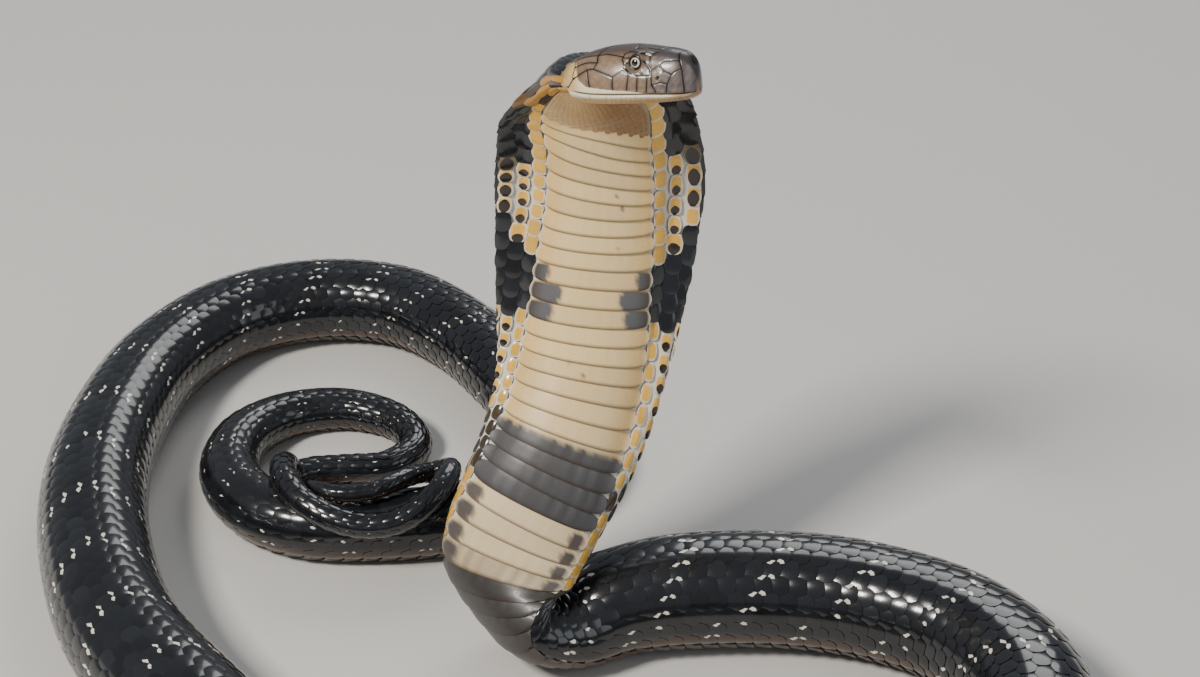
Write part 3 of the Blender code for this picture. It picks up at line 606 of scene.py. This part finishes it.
# Scales of the throat: small and soft, in creased rows between the chin and the first scute, laid
# as shells like those of the flanks. These rows, and the scutes after them, slant: their right
# ends lie further down the body.

FIRST_SCUTE = 0.054
belly = make_surface(-scute_half, scute_half, 41)


def slant(place, share):
    """How much further down the body the rows reach at a share across, beside their middle."""
    return 0.016 * np.clip(place / 0.03, 0, 1) * (1 - smooth_step(place, 0.06, 0.14)) * (2 * share - 1)


throat_row, throat_number = [a.ravel() for a in np.meshgrid(np.arange(19), np.arange(15), indexing="ij")]
throat_share = (throat_row + 0.5) / 19
throat_at = (FIRST_SCUTE + 0.004) * (throat_number + 0.5 * (throat_row % 2)) / 15
throat_at = throat_at + slant(throat_at, throat_share) + 0.001
throat_chance = np.random.default_rng(3).random((len(throat_at), 2))


def throat_colour(rear, across):
    """Tan, paler to the left and in painted shade to the right, with a few darker creases. It has no
    dashes.
    """
    aside = throat_share[:, None] + 0 * rear
    # painted shade: the throat's scales turn darker brown towards its right side
    colour = blend((0.66, 0.43, 0.21), (0.33, 0.185, 0.080), smooth_step(aside, 0.15, 0.75))
    colour = blend(colour, (0.20, 0.10, 0.04), 0.20 * smooth_step(np.abs(across), 0.6, 1.0))
    return colour, 0 * rear


throat_scales = lay_scales(
    "throat_scales", belly, throat_at, throat_share,
    0.0030 + 0 * throat_at, 0.5 / 19 * 1.15 + 0 * throat_at,
    0.95 + 0.10 * throat_chance[:, 0], 5, 0.30, throat_colour,
)
cover(throat_scales, scale_gloss)
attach(throat_scales, "root")


# Belly scutes: one row of wide satin plates of horn from the throat to the tail, each with its
# rear edge lying over the next. They are closed shells that curve with the belly, and are rounded
# at both ends.

CREAM = (0.86, 0.62, 0.30)
# metres down the body: scutes with dark ends, and where all of them turn dark
DARK_ENDS = (0.160, 0.192)
DARK_FROM = 0.348


def belly_colour(place, middle, share, rear, chance):
    """Colour of the belly scutes. place is each point's and middle its scute's distance down the
    body, share runs from -1 to 1 across and rear from 0 to 1 along one.
    """
    out = np.abs(share)
    colour = blend(CREAM, YELLOW, 0.50 * smooth_step(out, 0.45, 1.0) * (1 - smooth_step(place, 0.28, 0.33)))
    colour = blend(colour, (0.70, 0.60, 0.44), 0.5 * smooth_step(place, 0.22, 0.32))
    streak = 0.5 + 0.5 * np.sin(share * 57.0 + chance * 40.0) * np.sin(share * 23.0 + chance * 11.0)
    colour = blend(colour, (0.56, 0.40, 0.20), 0.16 * streak)
    colour = blend(colour, WHITE, 0.6 * smooth_step(out, 0.93, 1.0))
    # dark bands, and the ends of some scutes
    band = (middle > SCUTE_BAND[0]) & (middle < SCUTE_BAND[1])
    first = band & (middle < SCUTE_BAND[0] + 0.011)
    front_yellow = first * (1 - smooth_step(rear, 0.10, 0.30 + 0.25 * streak))
    night = blend((0.030, 0.034, 0.046), (0.115, 0.120, 0.130), 0.55 * streak * (1 - rear) + 0.15 * streak)
    colour = blend(colour, night, 0.96 * band * (1 - front_yellow))
    inner = np.interp(middle, [0.163, 0.174, 0.185], [0.76, 0.50, 0.60]) - 0.10 * np.sin(rear * math.pi)
    ends = ((middle > DARK_ENDS[0]) & (middle < DARK_ENDS[1])) * smooth_step(out, inner, inner + 0.06)
    ends = ends * (1 - smooth_step(out, 0.97, 1.0)) * smooth_step(rear, 0.0, 0.15)
    colour = blend(colour, blend(BLUE_GREY, (0.022, 0.024, 0.032), smooth_step(out, 0.7, 1.0)), 0.95 * ends)
    oval = np.hypot((out - 0.82) / np.where(share < 0, 0.20, 0.13), (rear - 0.58) / 0.42)
    ovals = ((middle > SCUTE_BAND[1]) & (middle < DARK_FROM)) * (1 - smooth_step(oval, 0.75, 1.10))
    colour = blend(colour, (0.050, 0.043, 0.052), 0.93 * ovals)
    dusk = smooth_step(middle, 0.325, 0.350) * (0.35 + 0.4 * streak)
    colour = blend(colour, (0.10, 0.085, 0.085), dusk)
    base = blend((0.022, 0.022, 0.026), (0.075, 0.072, 0.070), 0.8 * streak * (1 - rear))
    colour = blend(colour, base, 0.95 * (middle > DARK_FROM))
    colour = blend(colour, UMBER, 0.6 * smooth_step(place, 0.372, 0.392))
    colour = blend(colour, (0.050, 0.036, 0.028), smooth_step(place, 0.42, 0.50))
    # the thin dark rear edge of each scute, and a few small red-brown specks
    colour = blend(colour, BROWN, 0.85 * smooth_step(rear, 0.86, 0.95) * (out < 0.97))
    for where, at in ((0.1085, 0.30), (0.1165, 0.42), (0.1425, 0.38), (0.214, -0.20), (0.2215, 0.05)):
        near = np.hypot((place - where) / 0.0016, (share - at) / 0.030)
        colour = blend(colour, (0.16, 0.055, 0.02), 0.85 * (1 - smooth_step(near, 0.6, 1.2)))
    return colour


pattern = shell_pattern(7, 35)
g, h = pattern[:2]
numbers = np.arange(scute_total)
front_at = np.interp(numbers, scute_count, stations)
rear_at = np.interp(numbers + 1.10, scute_count, stations)
use = (rear_at < LENGTH - 0.004) & (front_at > FIRST_SCUTE - 0.0056)
front_at, rear_at = front_at[use], rear_at[use]
chance = np.random.default_rng(5).random((len(front_at), 2))
rear = (g[None, :] + 1) / 2
along = 0.5 + (rear - 0.5) * (1 - 0.34 * np.abs(h)[None, :] ** 9)  # the ends draw in
place = front_at[:, None] + (rear_at - front_at)[:, None] * along
place = place + slant(place, 0.5 + 0.5 * h[None, :])
reach = 1.0 + 0.035 * np.sin(rear * math.pi)
share = 0.5 + 0.5 * h[None, :] * reach + 0 * place
depth = np.interp(front_at, stations, inset)[:, None]
rim_of = np.maximum(np.abs(g), np.abs(h))[None, :]
height = depth * (-0.12 + 1.02 * rear**1.3 - 0.25 * (rim_of > 0.995) + 0.08 * np.sin(rear * math.pi))
height = height + depth * 0.10 * (np.abs(h) < 0.97)
points, normals = on_surface(belly, place, share)
over = np.clip(np.abs(share - 0.5) - 0.5, 0.0, 1.0) * np.sign(share - 0.5)
width = np.interp(place, stations, belly["width"])
sideways = unit(np.stack([np.interp(place, stations, across_way[:, k]) for k in range(3)], axis=-1))
points = points + sideways * (over * width)[..., None]
middle_at = 0.5 * (front_at + rear_at)[:, None] + 0 * place
tint = belly_colour(
    place, middle_at, h[None, :] + 0 * place, rear + 0 * place, chance[:, :1] + 0 * place
)
tint *= (0.94 + 0.12 * chance[:, 1])[:, None, None]
# painted shade: each scute's walls darken to 0.40 of its colours at the floor
scutes = shell_mesh(
    "belly_scutes", pattern, points, normals, height, depth, tint, 0.40, 0.0, 0.0002,
    unwrapped(0.5 * (front_at + rear_at), 0.12 + 0 * front_at), (0.0014, 0.09),
)
scute_satin = painted_material("satin scutes", 0.42, 0.06, 0.10, 0.12, 700.0)
cover(scutes, scute_satin)
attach(scutes, "root")


# Skin: one closed surface from the snout to the tip of the tail. The head end is a fine grid that
# carries the head's large shields, their seams, the mouth, the nostrils and the folds round the
# eyes as relief. The body end lies under the scales.

def bare_skin_colour(place, turn):
    """Colour of the skin between the scales."""
    half = np.radians(np.interp(place, *np.transpose(SCUTE_REACH)))
    from_back = np.abs(np.abs(np.mod(turn + math.pi, 2 * math.pi) - math.pi))
    front = (from_back < math.radians(96)) & (place < 0.37)
    colour = np.where(front[..., None], np.array(WHITE), np.array(BLACK) * 0.8)
    colour = blend(colour, (0.42, 0.25, 0.10), front * (1 - smooth_step(place, 0.022, 0.034)))
    dark = np.maximum(window(place, 0.030, 0.090, 0.003), window(place, 0.140, 0.192, 0.003))
    dark = dark * smooth_step(from_back, half + 0.04, half + 0.10)
    colour = blend(colour, BLACK, dark)
    return blend(colour, UMBER, (place > 0.37) * (from_back < half) * 0.8)


HEAD_FORWARD = (0.825, -0.53, 0.19)
HEAD_ROLL = 14.0
JOINT_FADE = 0.026
EYE_FORWARD, EYE_SIDE, EYE_UP, EYE_RADIUS = 0.0360, 0.0120, 0.0090, 0.0036
# forward of the joint, half width, top, mouth line, bottom
HEAD_OUTLINE = [
    (0.000, 0.0180, 0.0085, -0.0062, -0.0140), (0.006, 0.0205, 0.0118, -0.0068, -0.0144),
    (0.014, 0.0216, 0.0146, -0.0072, -0.0142), (0.024, 0.0204, 0.0160, -0.0070, -0.0136),
    (0.034, 0.0180, 0.0162, -0.0066, -0.0128), (0.044, 0.0152, 0.0157, -0.0062, -0.0118),
    (0.052, 0.0130, 0.0152, -0.0060, -0.0108), (0.058, 0.0106, 0.0137, -0.0058, -0.0098),
    (0.0620, 0.0070, 0.0100, -0.0056, -0.0084), (0.0640, 0.0020, 0.0020, -0.0052, -0.0064),
]
ahead = unit(np.array(HEAD_FORWARD))
leftward = unit(np.cross((0.0, 0.0, 1.0), ahead))
upward = np.cross(ahead, leftward)
roll = math.radians(HEAD_ROLL)
leftward, upward = (
    leftward * math.cos(roll) - upward * math.sin(roll),
    upward * math.cos(roll) + leftward * math.sin(roll),
)
joint = np.array(HEAD_JOINT) - np.array([*PLAN_CENTRE, 0.0])

JAW, CROWN = 48, 80  # columns from the chin to the lip and from the lip to the crown
SKIN_COLUMNS = (JAW + CROWN) // 2
outline = along_spline(HEAD_OUTLINE, 24)[::-1]
outline = outline[outline[:, 0] > 0.0030]
forward = outline[:, :1]
width, top, mouth, bottom = [outline[:, k : k + 1] for k in range(1, 5)]
low = 1 - (1 - np.linspace(0, 1, JAW + 1)) ** 1.35
high = 1 + np.linspace(0, 1, CROWN + 1)[1:] ** 1.25
round_head = np.concatenate([low, high])[None, :]  # 0 at the chin, 1 at the lip, 2 at the crown


def head_section(q):
    """Side and height of the head's outline at the places q round it, for every ring."""
    a, b = np.clip(q, 0, 1) * math.pi / 2, np.clip(q - 1, 0, 1) * math.pi / 2
    low_side, low_up = width * np.sin(a) ** 0.85, mouth + (bottom - mouth) * np.cos(a) ** 0.9
    high_side, high_up = width * np.cos(b) ** 0.80, mouth + (top - mouth) * np.sin(b) ** 0.86
    upper = q > 1
    return np.where(upper, high_side, low_side), np.where(upper, high_up, low_up)


side, up = head_section(round_head)
crown_arc = np.linalg.norm(np.diff(np.stack([side, up]), axis=2), axis=0)
arc = np.hstack([np.zeros((len(forward), 1)), np.cumsum(crown_arc, axis=1)]) * 1000
seam_x = forward * 1000 + 0 * round_head
at_q = round_head + 0 * forward


def arc_place(x, q):
    """How far round the head, in millimetres from the chin, the place q is at x."""
    row = np.interp(-x, -forward[:, 0] * 1000, np.arange(len(forward)))
    return np.array([np.interp(v, round_head[0], arc[int(round(r))]) for v, r in zip(q, row)])


# borders of the shields on one side of the head: millimetres forward of the joint, place round it
SEAMS = [
    [(2, 1.00), (7, 1.20), (12.8, 1.33), (15.6, 1.34), (25.4, 1.20), (30.2, 1.30), (33.8, 1.27)],
    [(12.8, 1.33), (15.2, 1.02)], [(25.4, 1.20), (26.0, 1.02)], [(33.8, 1.27), (33.2, 1.02)],
    [(38.4, 1.22), (38.4, 1.02)], [(43.4, 1.23), (43.2, 1.02)], [(46.0, 1.10), (48.0, 1.02)],
    [(53.6, 1.12), (53.2, 1.02)], [(33.8, 1.27), (38.4, 1.22), (43.4, 1.23), (45.2, 1.24)],
    [(15.6, 1.34), (16.8, 1.45), (15.6, 1.60), (19.4, 1.62), (23.2, 1.59), (28.8, 1.55)],
    [(28.8, 1.62), (28.7, 1.50), (30.6, 1.41), (30.6, 1.36), (33.8, 1.27)],
    [(6.0, 1.40), (11.0, 1.46), (16.8, 1.45)], [(6.0, 1.18), (6.0, 1.40), (4.0, 1.60)],
    [(30.6, 1.41), (33.0, 1.44)], [(28.8, 1.53), (32.6, 1.54)], [(40.0, 1.50), (45.0, 1.31)],
    [(39.0, 1.31), (41.2, 1.23)], [(44.4, 1.66), (42.6, 1.60), (44.4, 1.32), (48.2, 1.42)],
    [(48.2, 1.42), (50.6, 1.52), (58.0, 1.59), (59.4, 1.44), (55.6, 1.27), (51.8, 1.31), (48.2, 1.42)],
    [(44.4, 1.32), (45.2, 1.24), (45.8, 1.10), (50.2, 1.14), (53.6, 1.12), (55.6, 1.27)],
    [(58.0, 1.59), (56.2, 1.78), (56.6, 2.00)], [(28.8, 1.62), (30.8, 1.66), (37.2, 1.655), (42.6, 1.60)],
    [(44.4, 1.66), (46.0, 1.80), (47.5, 2.00)], [(46.0, 1.80), (38.0, 1.83), (33.0, 1.78), (30.8, 1.66)],
    [(33.0, 1.78), (31.0, 2.00)], [(15.6, 1.60), (16.4, 1.80), (18.0, 2.00)],
    [(4.0, 1.60), (4.4, 1.80), (3.6, 2.00)], [(18.0, 2.00), (3.6, 2.00)], [(31.0, 2.00), (18.0, 2.00)],
    [(63.0, 2.00), (47.5, 2.00)], [(15.6, 1.60), (9.0, 1.62), (4.0, 1.60)],
    [(61.0, 1.02), (60.0, 1.30), (59.4, 1.44)],
]
CHIN_SEAMS = [
    [(9, 0.72), (20, 0.76), (34, 0.79), (48, 0.80), (60, 0.80)],
    *[[(x, 0.98), (x - 1.0, 0.78)] for x in (15, 23, 31, 38, 45, 51, 57)],
    [(60, 0.0), (22, 0.0)], [(46, 0.0), (45, 0.45), (43, 0.79)], [(32, 0.0), (31, 0.40), (29, 0.77)],
]


def seam_distance(lines):
    """Millimetres from every point of the grid to the nearest of the lines, over the skin."""
    nearest = np.full(seam_x.shape, 99.0)
    for line in lines:
        line = np.array(line, float)
        fine = np.linspace(0, len(line) - 1, (len(line) - 1) * 6 + 1)
        x = np.interp(fine, np.arange(len(line)), line[:, 0])
        y = arc_place(x, np.interp(fine, np.arange(len(line)), line[:, 1]))
        for x0, y0, x1, y1 in zip(x[:-1], y[:-1], x[1:], y[1:]):
            run = np.array([x1 - x0, y1 - y0])
            t = ((seam_x - x0) * run[0] + (arc - y0) * run[1]) / max(run.dot(run), 1e-9)
            t = np.clip(t, 0, 1)
            nearest = np.minimum(nearest, np.hypot(seam_x - x0 - t * run[0], arc - y0 - t * run[1]))
    return nearest


seam = seam_distance(SEAMS)
chin_seam = seam_distance(CHIN_SEAMS)
lip = arc - arc[:, JAW : JAW + 1]
open_back = smooth_step(seam_x, 4.0, 9.0)
eye_off = np.hypot(seam_x - EYE_FORWARD * 1000, (up - EYE_UP) * 1000)
nostril = np.hypot(seam_x - 48.6, arc - arc_place(np.array([48.6]), np.array([1.205]))[0])
relief = 0.20 * smooth_step(at_q, 1.02, 1.08) - 0.24 * np.exp(-((seam / 0.30) ** 2)) * (eye_off > 3.3)
nape_rows = np.sin(seam_x * 2.2 - 0.8 * arc + 1.2 * np.sin(arc * 0.6))
relief += 0.12 * nape_rows * (1 - smooth_step(seam_x, 7.0, 10.0)) * (at_q > 1.0)
relief -= 0.14 * np.exp(-((chin_seam / 0.30) ** 2))
lip_rolls = 0.30 * np.exp(-(((np.abs(lip) - 1.4) / 0.9) ** 2))
relief += open_back * (lip_rolls - 0.95 * np.exp(-((lip / 0.34) ** 2)))
relief += -1.5 * np.exp(-((nostril / 0.75) ** 2)) + 0.35 * np.exp(-(((nostril - 1.7) / 0.55) ** 2))
fold = np.sin(seam_x * 3.1 + 1.9 * np.sin(arc * 1.4)) * np.sin(arc * 2.6 + 1.3 * np.sin(seam_x * 1.7))
relief += 0.16 * fold * np.exp(-((nostril / 2.6) ** 2)) * (nostril > 1.0)
relief += 0.75 * np.exp(-(((at_q - 1.66) / 0.05) ** 2)) * window(seam_x, 31.0, 43.0, 2.5)
relief += -0.55 * np.exp(-(((seam_x - 44.0) / 3.5) ** 2) - ((at_q - 1.36) / 0.12) ** 2)
relief += 0.10 * np.sin(seam_x * 2.3 + 2.0 * np.sin(arc * 0.9)) * (at_q < 0.75)
relief *= smooth_step(seam_x, 2.0, 7.0)
side = np.where(np.abs(side) < 1e-9, 0.0, side)
grid = np.stack([seam_x / 1000, side, up], axis=-1)
outward = unit(np.cross(np.gradient(grid, axis=1), np.gradient(grid, axis=0)))
outward = outward * np.sign((outward * (grid - grid.mean(axis=1, keepdims=True))).sum(-1).mean())
outward[:, [0, -1], 1] = 0.0
grid = grid + unit(outward) * (relief * smooth_step(-seam_x, -63.6, -61.5))[..., None] / 1000
rim_height = EYE_SIDE + 0.0025
lift = (rim_height - grid[..., 1]) * (1 - smooth_step(eye_off, 3.1, 5.6))
lift -= 0.0024 * (1 - smooth_step(eye_off, 1.9, 3.15))
grid[..., 1] += np.where((at_q > 1.0) & (at_q < 1.95), lift, 0.0)

# colours of the head: brown shields with black seams, a pale lip and a pale throat, in painted shade
# underneath
HEAD_BROWN, HEAD_MAUVE, LIP_CREAM = (0.200, 0.128, 0.078), (0.098, 0.083, 0.088), (0.80, 0.70, 0.50)
mottle = np.sin(seam_x * 1.3 + 1.1 * np.sin(arc * 0.8)) * np.sin(arc * 1.1 + np.sin(seam_x * 0.7))
head_tint = blend(HEAD_BROWN, HEAD_MAUVE, smooth_step(seam_x + 5 * (at_q - 1.5), 38, 50))
head_tint = blend(head_tint, (0.045, 0.036, 0.038), 0.80 * smooth_step(at_q, 1.55, 1.72))
head_tint = blend(head_tint, (0.34, 0.235, 0.155), 0.20 * (1 + mottle) * (at_q < 1.6))
head_tint = blend(head_tint, (0.030, 0.019, 0.014), 0.50 * np.exp(-((seam / 1.1) ** 2)) * (at_q > 1.0))
pale_nostril = np.exp(-((nostril / 2.4) ** 2)) * (nostril > 0.9)
head_tint = blend(head_tint, (0.30, 0.24, 0.17), 0.75 * pale_nostril)
head_tint = blend(head_tint, (0.005, 0.004, 0.004), np.exp(-((nostril / 0.8) ** 2)))
# the lower part of the upper lip's shields is pale, from the corner of the mouth to the nostril
PALE_LIP = [(0, 22), (6.5, 14.0), (9, 6.5), (13, 3.5), (25, 2.2), (33, 1.7), (39, 1.1), (44.5, 0)]
pale_to = np.interp(seam_x, *np.transpose(PALE_LIP))
pale_lip = smooth_step(pale_to - lip, -0.15, 0.15) * (at_q >= 1.0) * (at_q < 1.7)
corner = blend(LIP_CREAM, (0.60, 0.40, 0.17), smooth_step(-seam_x, -12.0, -5.0))
head_tint = blend(head_tint, corner, pale_lip)
seam_field = np.clip(1 - seam / 0.72, 0, 1) * (at_q > 1.0) * (1 - pale_lip * (seam_x > 9.0))
head_tint = blend(head_tint, (0.004, 0.0035, 0.0035), 1 - smooth_step(eye_off, 3.6, 4.2))
# painted shade: the cream of the throat turns brown on the jaw's underside
throat = blend(LIP_CREAM, (0.50, 0.30, 0.135), smooth_step(-at_q, -0.84, -0.66))
throat = blend(throat, (0.16, 0.08, 0.04), 0.30 * np.exp(-((chin_seam / 0.35) ** 2)))
# painted shade: darker brown towards the front of the chin
throat = blend(throat, (0.30, 0.15, 0.06), 0.7 * smooth_step(seam_x, 52, 60))
head_tint = blend(head_tint, throat, smooth_step(-at_q, -1.0, -0.985))
head_tint = blend(head_tint, (0.02, 0.012, 0.008), np.exp(-((lip / 0.35) ** 2)) * open_back)
nape = 1 - smooth_step(seam_x, 3.5, 5.5)
head_tint = blend(head_tint, BLACK, nape * smooth_step(at_q, 1.5, 1.6))

square = unit(np.array(JOINT_FORWARD))


def place_head(points):
    """Takes points of the head's own frame to their places, leaned to the joint at the back."""
    lean = points[..., 1] * leftward.dot(square) + points[..., 2] * upward.dot(square)
    lean = -lean / ahead.dot(square)
    fade = np.clip(1.0 - points[..., 0] / JOINT_FADE, 0.0, 1.0) ** 1.5
    return (
        joint + (points[..., 0] + lean * fade)[..., None] * ahead
        + points[..., 1:2] * leftward + points[..., 2:3] * upward
    )


mirrored = grid[:, -2:0:-1] * np.array([1.0, -1.0, 1.0])
head_points = place_head(np.concatenate([grid, mirrored], axis=1))
head_tint = np.concatenate([head_tint, seam_field[..., None]], axis=-1)
head_tint = np.concatenate([head_tint, head_tint[:, -2:0:-1]], axis=1)
head_columns = head_points.shape[1]

turn = evenly_round(0 * stations, 0 * stations + 2 * math.pi, SKIN_COLUMNS + 1)[0][:, :-1]
body_points = skin_surface(turn)
body_normals = unit(np.cross(np.gradient(body_points, axis=0), np.gradient(body_points, axis=1)))
from_belly = np.degrees(np.minimum(turn, 2 * math.pi - turn))
hollow = window(from_belly, 26.0, 62.0, 8.0) * (1 - smooth_step(stations, 0.34, 0.38))[:, None]
body_points = (body_points - ((0.33 + 0.90 * hollow) * inset[:, None])[..., None] * body_normals)[2::3]
body_turn, body_at = turn[2::3], stations[2::3]
body_tint = bare_skin_colour(body_at[:, None] + 0 * body_turn, body_turn)
body_tint = np.concatenate([body_tint, 0 * body_tint[..., :1]], axis=-1)
head_rings, body_rings = len(head_points), len(body_points)
no_place = 0 * head_points[..., 0]
head_uv = unwrapped(no_place, (np.arange(head_columns) / head_columns)[None, :] + no_place)
head_uv[..., 0] -= 0.009 * np.linspace(1, 0, head_rings)[:, None]
body_uv = unwrapped(body_at[:, None] + 0 * body_turn, body_turn / (2 * math.pi))


def tube_faces(rings, columns, first):
    """Four-cornered faces between equal rings of points numbered from first."""
    number = first + np.arange(rings * columns).reshape(rings, columns)
    nearer, further = number[:-1], number[1:]
    return np.stack(
        [further, np.roll(further, -1, 1), np.roll(nearer, -1, 1), nearer], axis=-1
    ).reshape(-1, 4)


head_total = head_rings * head_columns
step = head_columns // SKIN_COLUMNS
last_ring = head_total - head_columns + np.arange(head_columns)
first_body = head_total + np.arange(SKIN_COLUMNS)
# each body quad at the joint meets a run of the head's finer columns
seam_faces = np.stack(
    [first_body, np.roll(first_body, -1), *[np.roll(last_ring, -k)[::step] for k in range(step, -1, -1)]],
    axis=1,
)
tip_snout = head_total + body_rings * SKIN_COLUMNS
snout_ring, tail_ring = np.arange(head_columns), tip_snout - SKIN_COLUMNS + np.arange(SKIN_COLUMNS)
snout_cap = np.stack([np.full(head_columns, tip_snout), snout_ring, np.roll(snout_ring, -1)], axis=1)
tail_cap = np.stack([np.full(SKIN_COLUMNS, tip_snout + 1), np.roll(tail_ring, -1), tail_ring], axis=1)
skin_points = np.vstack([
    head_points.reshape(-1, 3), body_points.reshape(-1, 3),
    head_points[0].mean(0, keepdims=True), body_points[-1].mean(0, keepdims=True),
])
skin_tint = np.vstack([
    head_tint.reshape(-1, 4), body_tint.reshape(-1, 4), head_tint[0, :1], body_tint[-1, :1],
])
skin_uv = np.vstack([head_uv.reshape(-1, 2), body_uv.reshape(-1, 2), head_uv[0, :1], body_uv[-1, :1]])
skin_faces = [
    tube_faces(head_rings, head_columns, 0), tube_faces(body_rings, SKIN_COLUMNS, head_total),
    seam_faces, snout_cap, tail_cap,
]
skin = build_mesh("skin", skin_points, skin_faces, skin_tint, skin_uv)
skin_satin = painted_material("skin", 0.32, 0.25, 0.20, 0.14, 1100.0, (0.003, 0.0028, 0.0028))
cover(skin, skin_satin)
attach(skin, "root")
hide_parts(*[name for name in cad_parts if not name.startswith("eye")])


# Eyes: wet balls with a round black pupil, a pale ring round it and a dark rim. Each is a ball of
# rings about the way that it looks.

wet = painted_material("wet eye", 0.12, 1.0, 0.02, 0.0, 300.0)
for which, name, ball_node in ((1.0, "left_eye", "eye_left"), (-1.0, "right_eye", "eye_right")):
    centre = place_head(np.array([EYE_FORWARD, which * EYE_SIDE, EYE_UP]))
    look = unit(leftward * which * 1.0 + ahead * 0.10 + upward * 0.06)
    beside = unit(np.cross(upward, look))
    above = np.cross(look, beside)
    from_pole = np.radians(np.concatenate([np.linspace(1, 52, 40), np.linspace(56, 178, 20)]))[:, None]
    about = (np.arange(48) * 2 * math.pi / 48)[None, :]
    radius = EYE_RADIUS * (1.0 + 0.035 * np.exp(-((from_pole / 0.5) ** 2)))
    ball = (
        centre + (radius * np.cos(from_pole) + 0 * about)[..., None] * look
        + (radius * np.sin(from_pole) * np.cos(about))[..., None] * beside
        + (radius * np.sin(from_pole) * np.sin(about))[..., None] * above
    )
    off = EYE_RADIUS * np.sin(from_pole) * 1000 + 0 * about  # millimetres from the middle
    off = np.where(from_pole > math.pi / 2, 9.0, off)
    iris = blend((0.86, 0.82, 0.66), (0.62, 0.46, 0.22), 0.25 + 0.25 * np.sin(about * 23 + off * 5))
    paint = blend((0.0015, 0.0015, 0.0015), iris, smooth_step(off, 1.72, 1.84))
    paint = blend(paint, (0.010, 0.007, 0.005), smooth_step(off, 2.38, 2.55))
    count = len(from_pole) * 48
    poles = np.array([centre + radius[0, 0] * look, centre - radius[-1, 0] * look])
    ring = np.arange(48)
    faces = [
        tube_faces(len(from_pole), 48, 0),
        np.stack([np.full(48, count), ring, np.roll(ring, -1)], axis=1),
        np.stack([np.full(48, count + 1), count - 48 + np.roll(ring, -1), count - 48 + ring], axis=1),
    ]
    tints = np.vstack([paint.reshape(-1, 3), paint[0, :1], paint[-1, :1]])
    where = np.vstack([ball.reshape(-1, 3), poles])
    flat = np.full((len(where), 2), 0.5) + (where - centre)[:, :2] * 20
    eye = build_mesh(name, where, faces, tints, flat)
    cover(eye, wet)
    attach(eye, "root")
    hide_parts(ball_node)


# Surroundings: a plain pale floor and soft studio light from the upper left, and the camera at
# the photo's angle, 32 degrees above the horizon.

floor_mesh = bpy.data.meshes.new("floor")
floor_mesh.from_pydata([(-6, -4, 0), (6, -4, 0), (6, 12, 0), (-6, 12, 0)], [], [(0, 1, 2, 3)])
floor = bpy.data.objects.new("floor", floor_mesh)
bpy.context.scene.collection.objects.link(floor)
pale = bpy.data.materials.new("pale floor")
pale.use_nodes = True
pale.node_tree.nodes["Principled BSDF"].inputs["Base Color"].default_value = (0.62, 0.60, 0.57, 1.0)
pale.node_tree.nodes["Principled BSDF"].inputs["Roughness"].default_value = 0.75
floor_mesh.materials.append(pale)


def area_light(name, place, target, size, power, colour):
    """A square soft light at a place, pointed at a target."""
    data = bpy.data.lights.new(name, "AREA")
    data.size, data.energy, data.color = size, power, colour
    light = bpy.data.objects.new(name, data)
    way = np.array(target) - np.array(place)
    light.location = place
    light.rotation_euler = (
        math.acos(-way[2] / np.linalg.norm(way)), 0.0, math.atan2(way[1], way[0]) - math.pi / 2
    )
    bpy.context.scene.collection.objects.link(light)


area_light("key", (-1.5, -1.3, 2.3), (0.0, 0.0, 0.12), 0.6, 100.0, (1.0, 0.965, 0.90))
area_light("fill", (1.9, -1.5, 1.2), (0.0, 0.0, 0.15), 1.8, 14.0, (0.92, 0.96, 1.0))
area_light("back", (0.6, 2.0, 1.9), (0.0, 0.0, 0.15), 1.4, 22.0, (1.0, 1.0, 1.0))

world = bpy.data.worlds.new("studio")
world.use_nodes = True
world.node_tree.nodes["Background"].inputs["Color"].default_value = (0.75, 0.80, 0.88, 1.0)
world.node_tree.nodes["Background"].inputs["Strength"].default_value = 0.30
bpy.context.scene.world = world

camera_data = bpy.data.cameras.new("camera")
camera_data.lens, camera_data.sensor_width = 72.0, 36.0
camera = bpy.data.objects.new("camera", camera_data)
camera.location = (-PLAN_CENTRE[0], -1.11 - PLAN_CENTRE[1], 0.9034)
camera.rotation_euler = (math.radians(90.0 - 32.0), 0.0, 0.0)
bpy.context.scene.collection.objects.link(camera)
bpy.context.scene.camera = camera

bpy.context.view_layer.update()
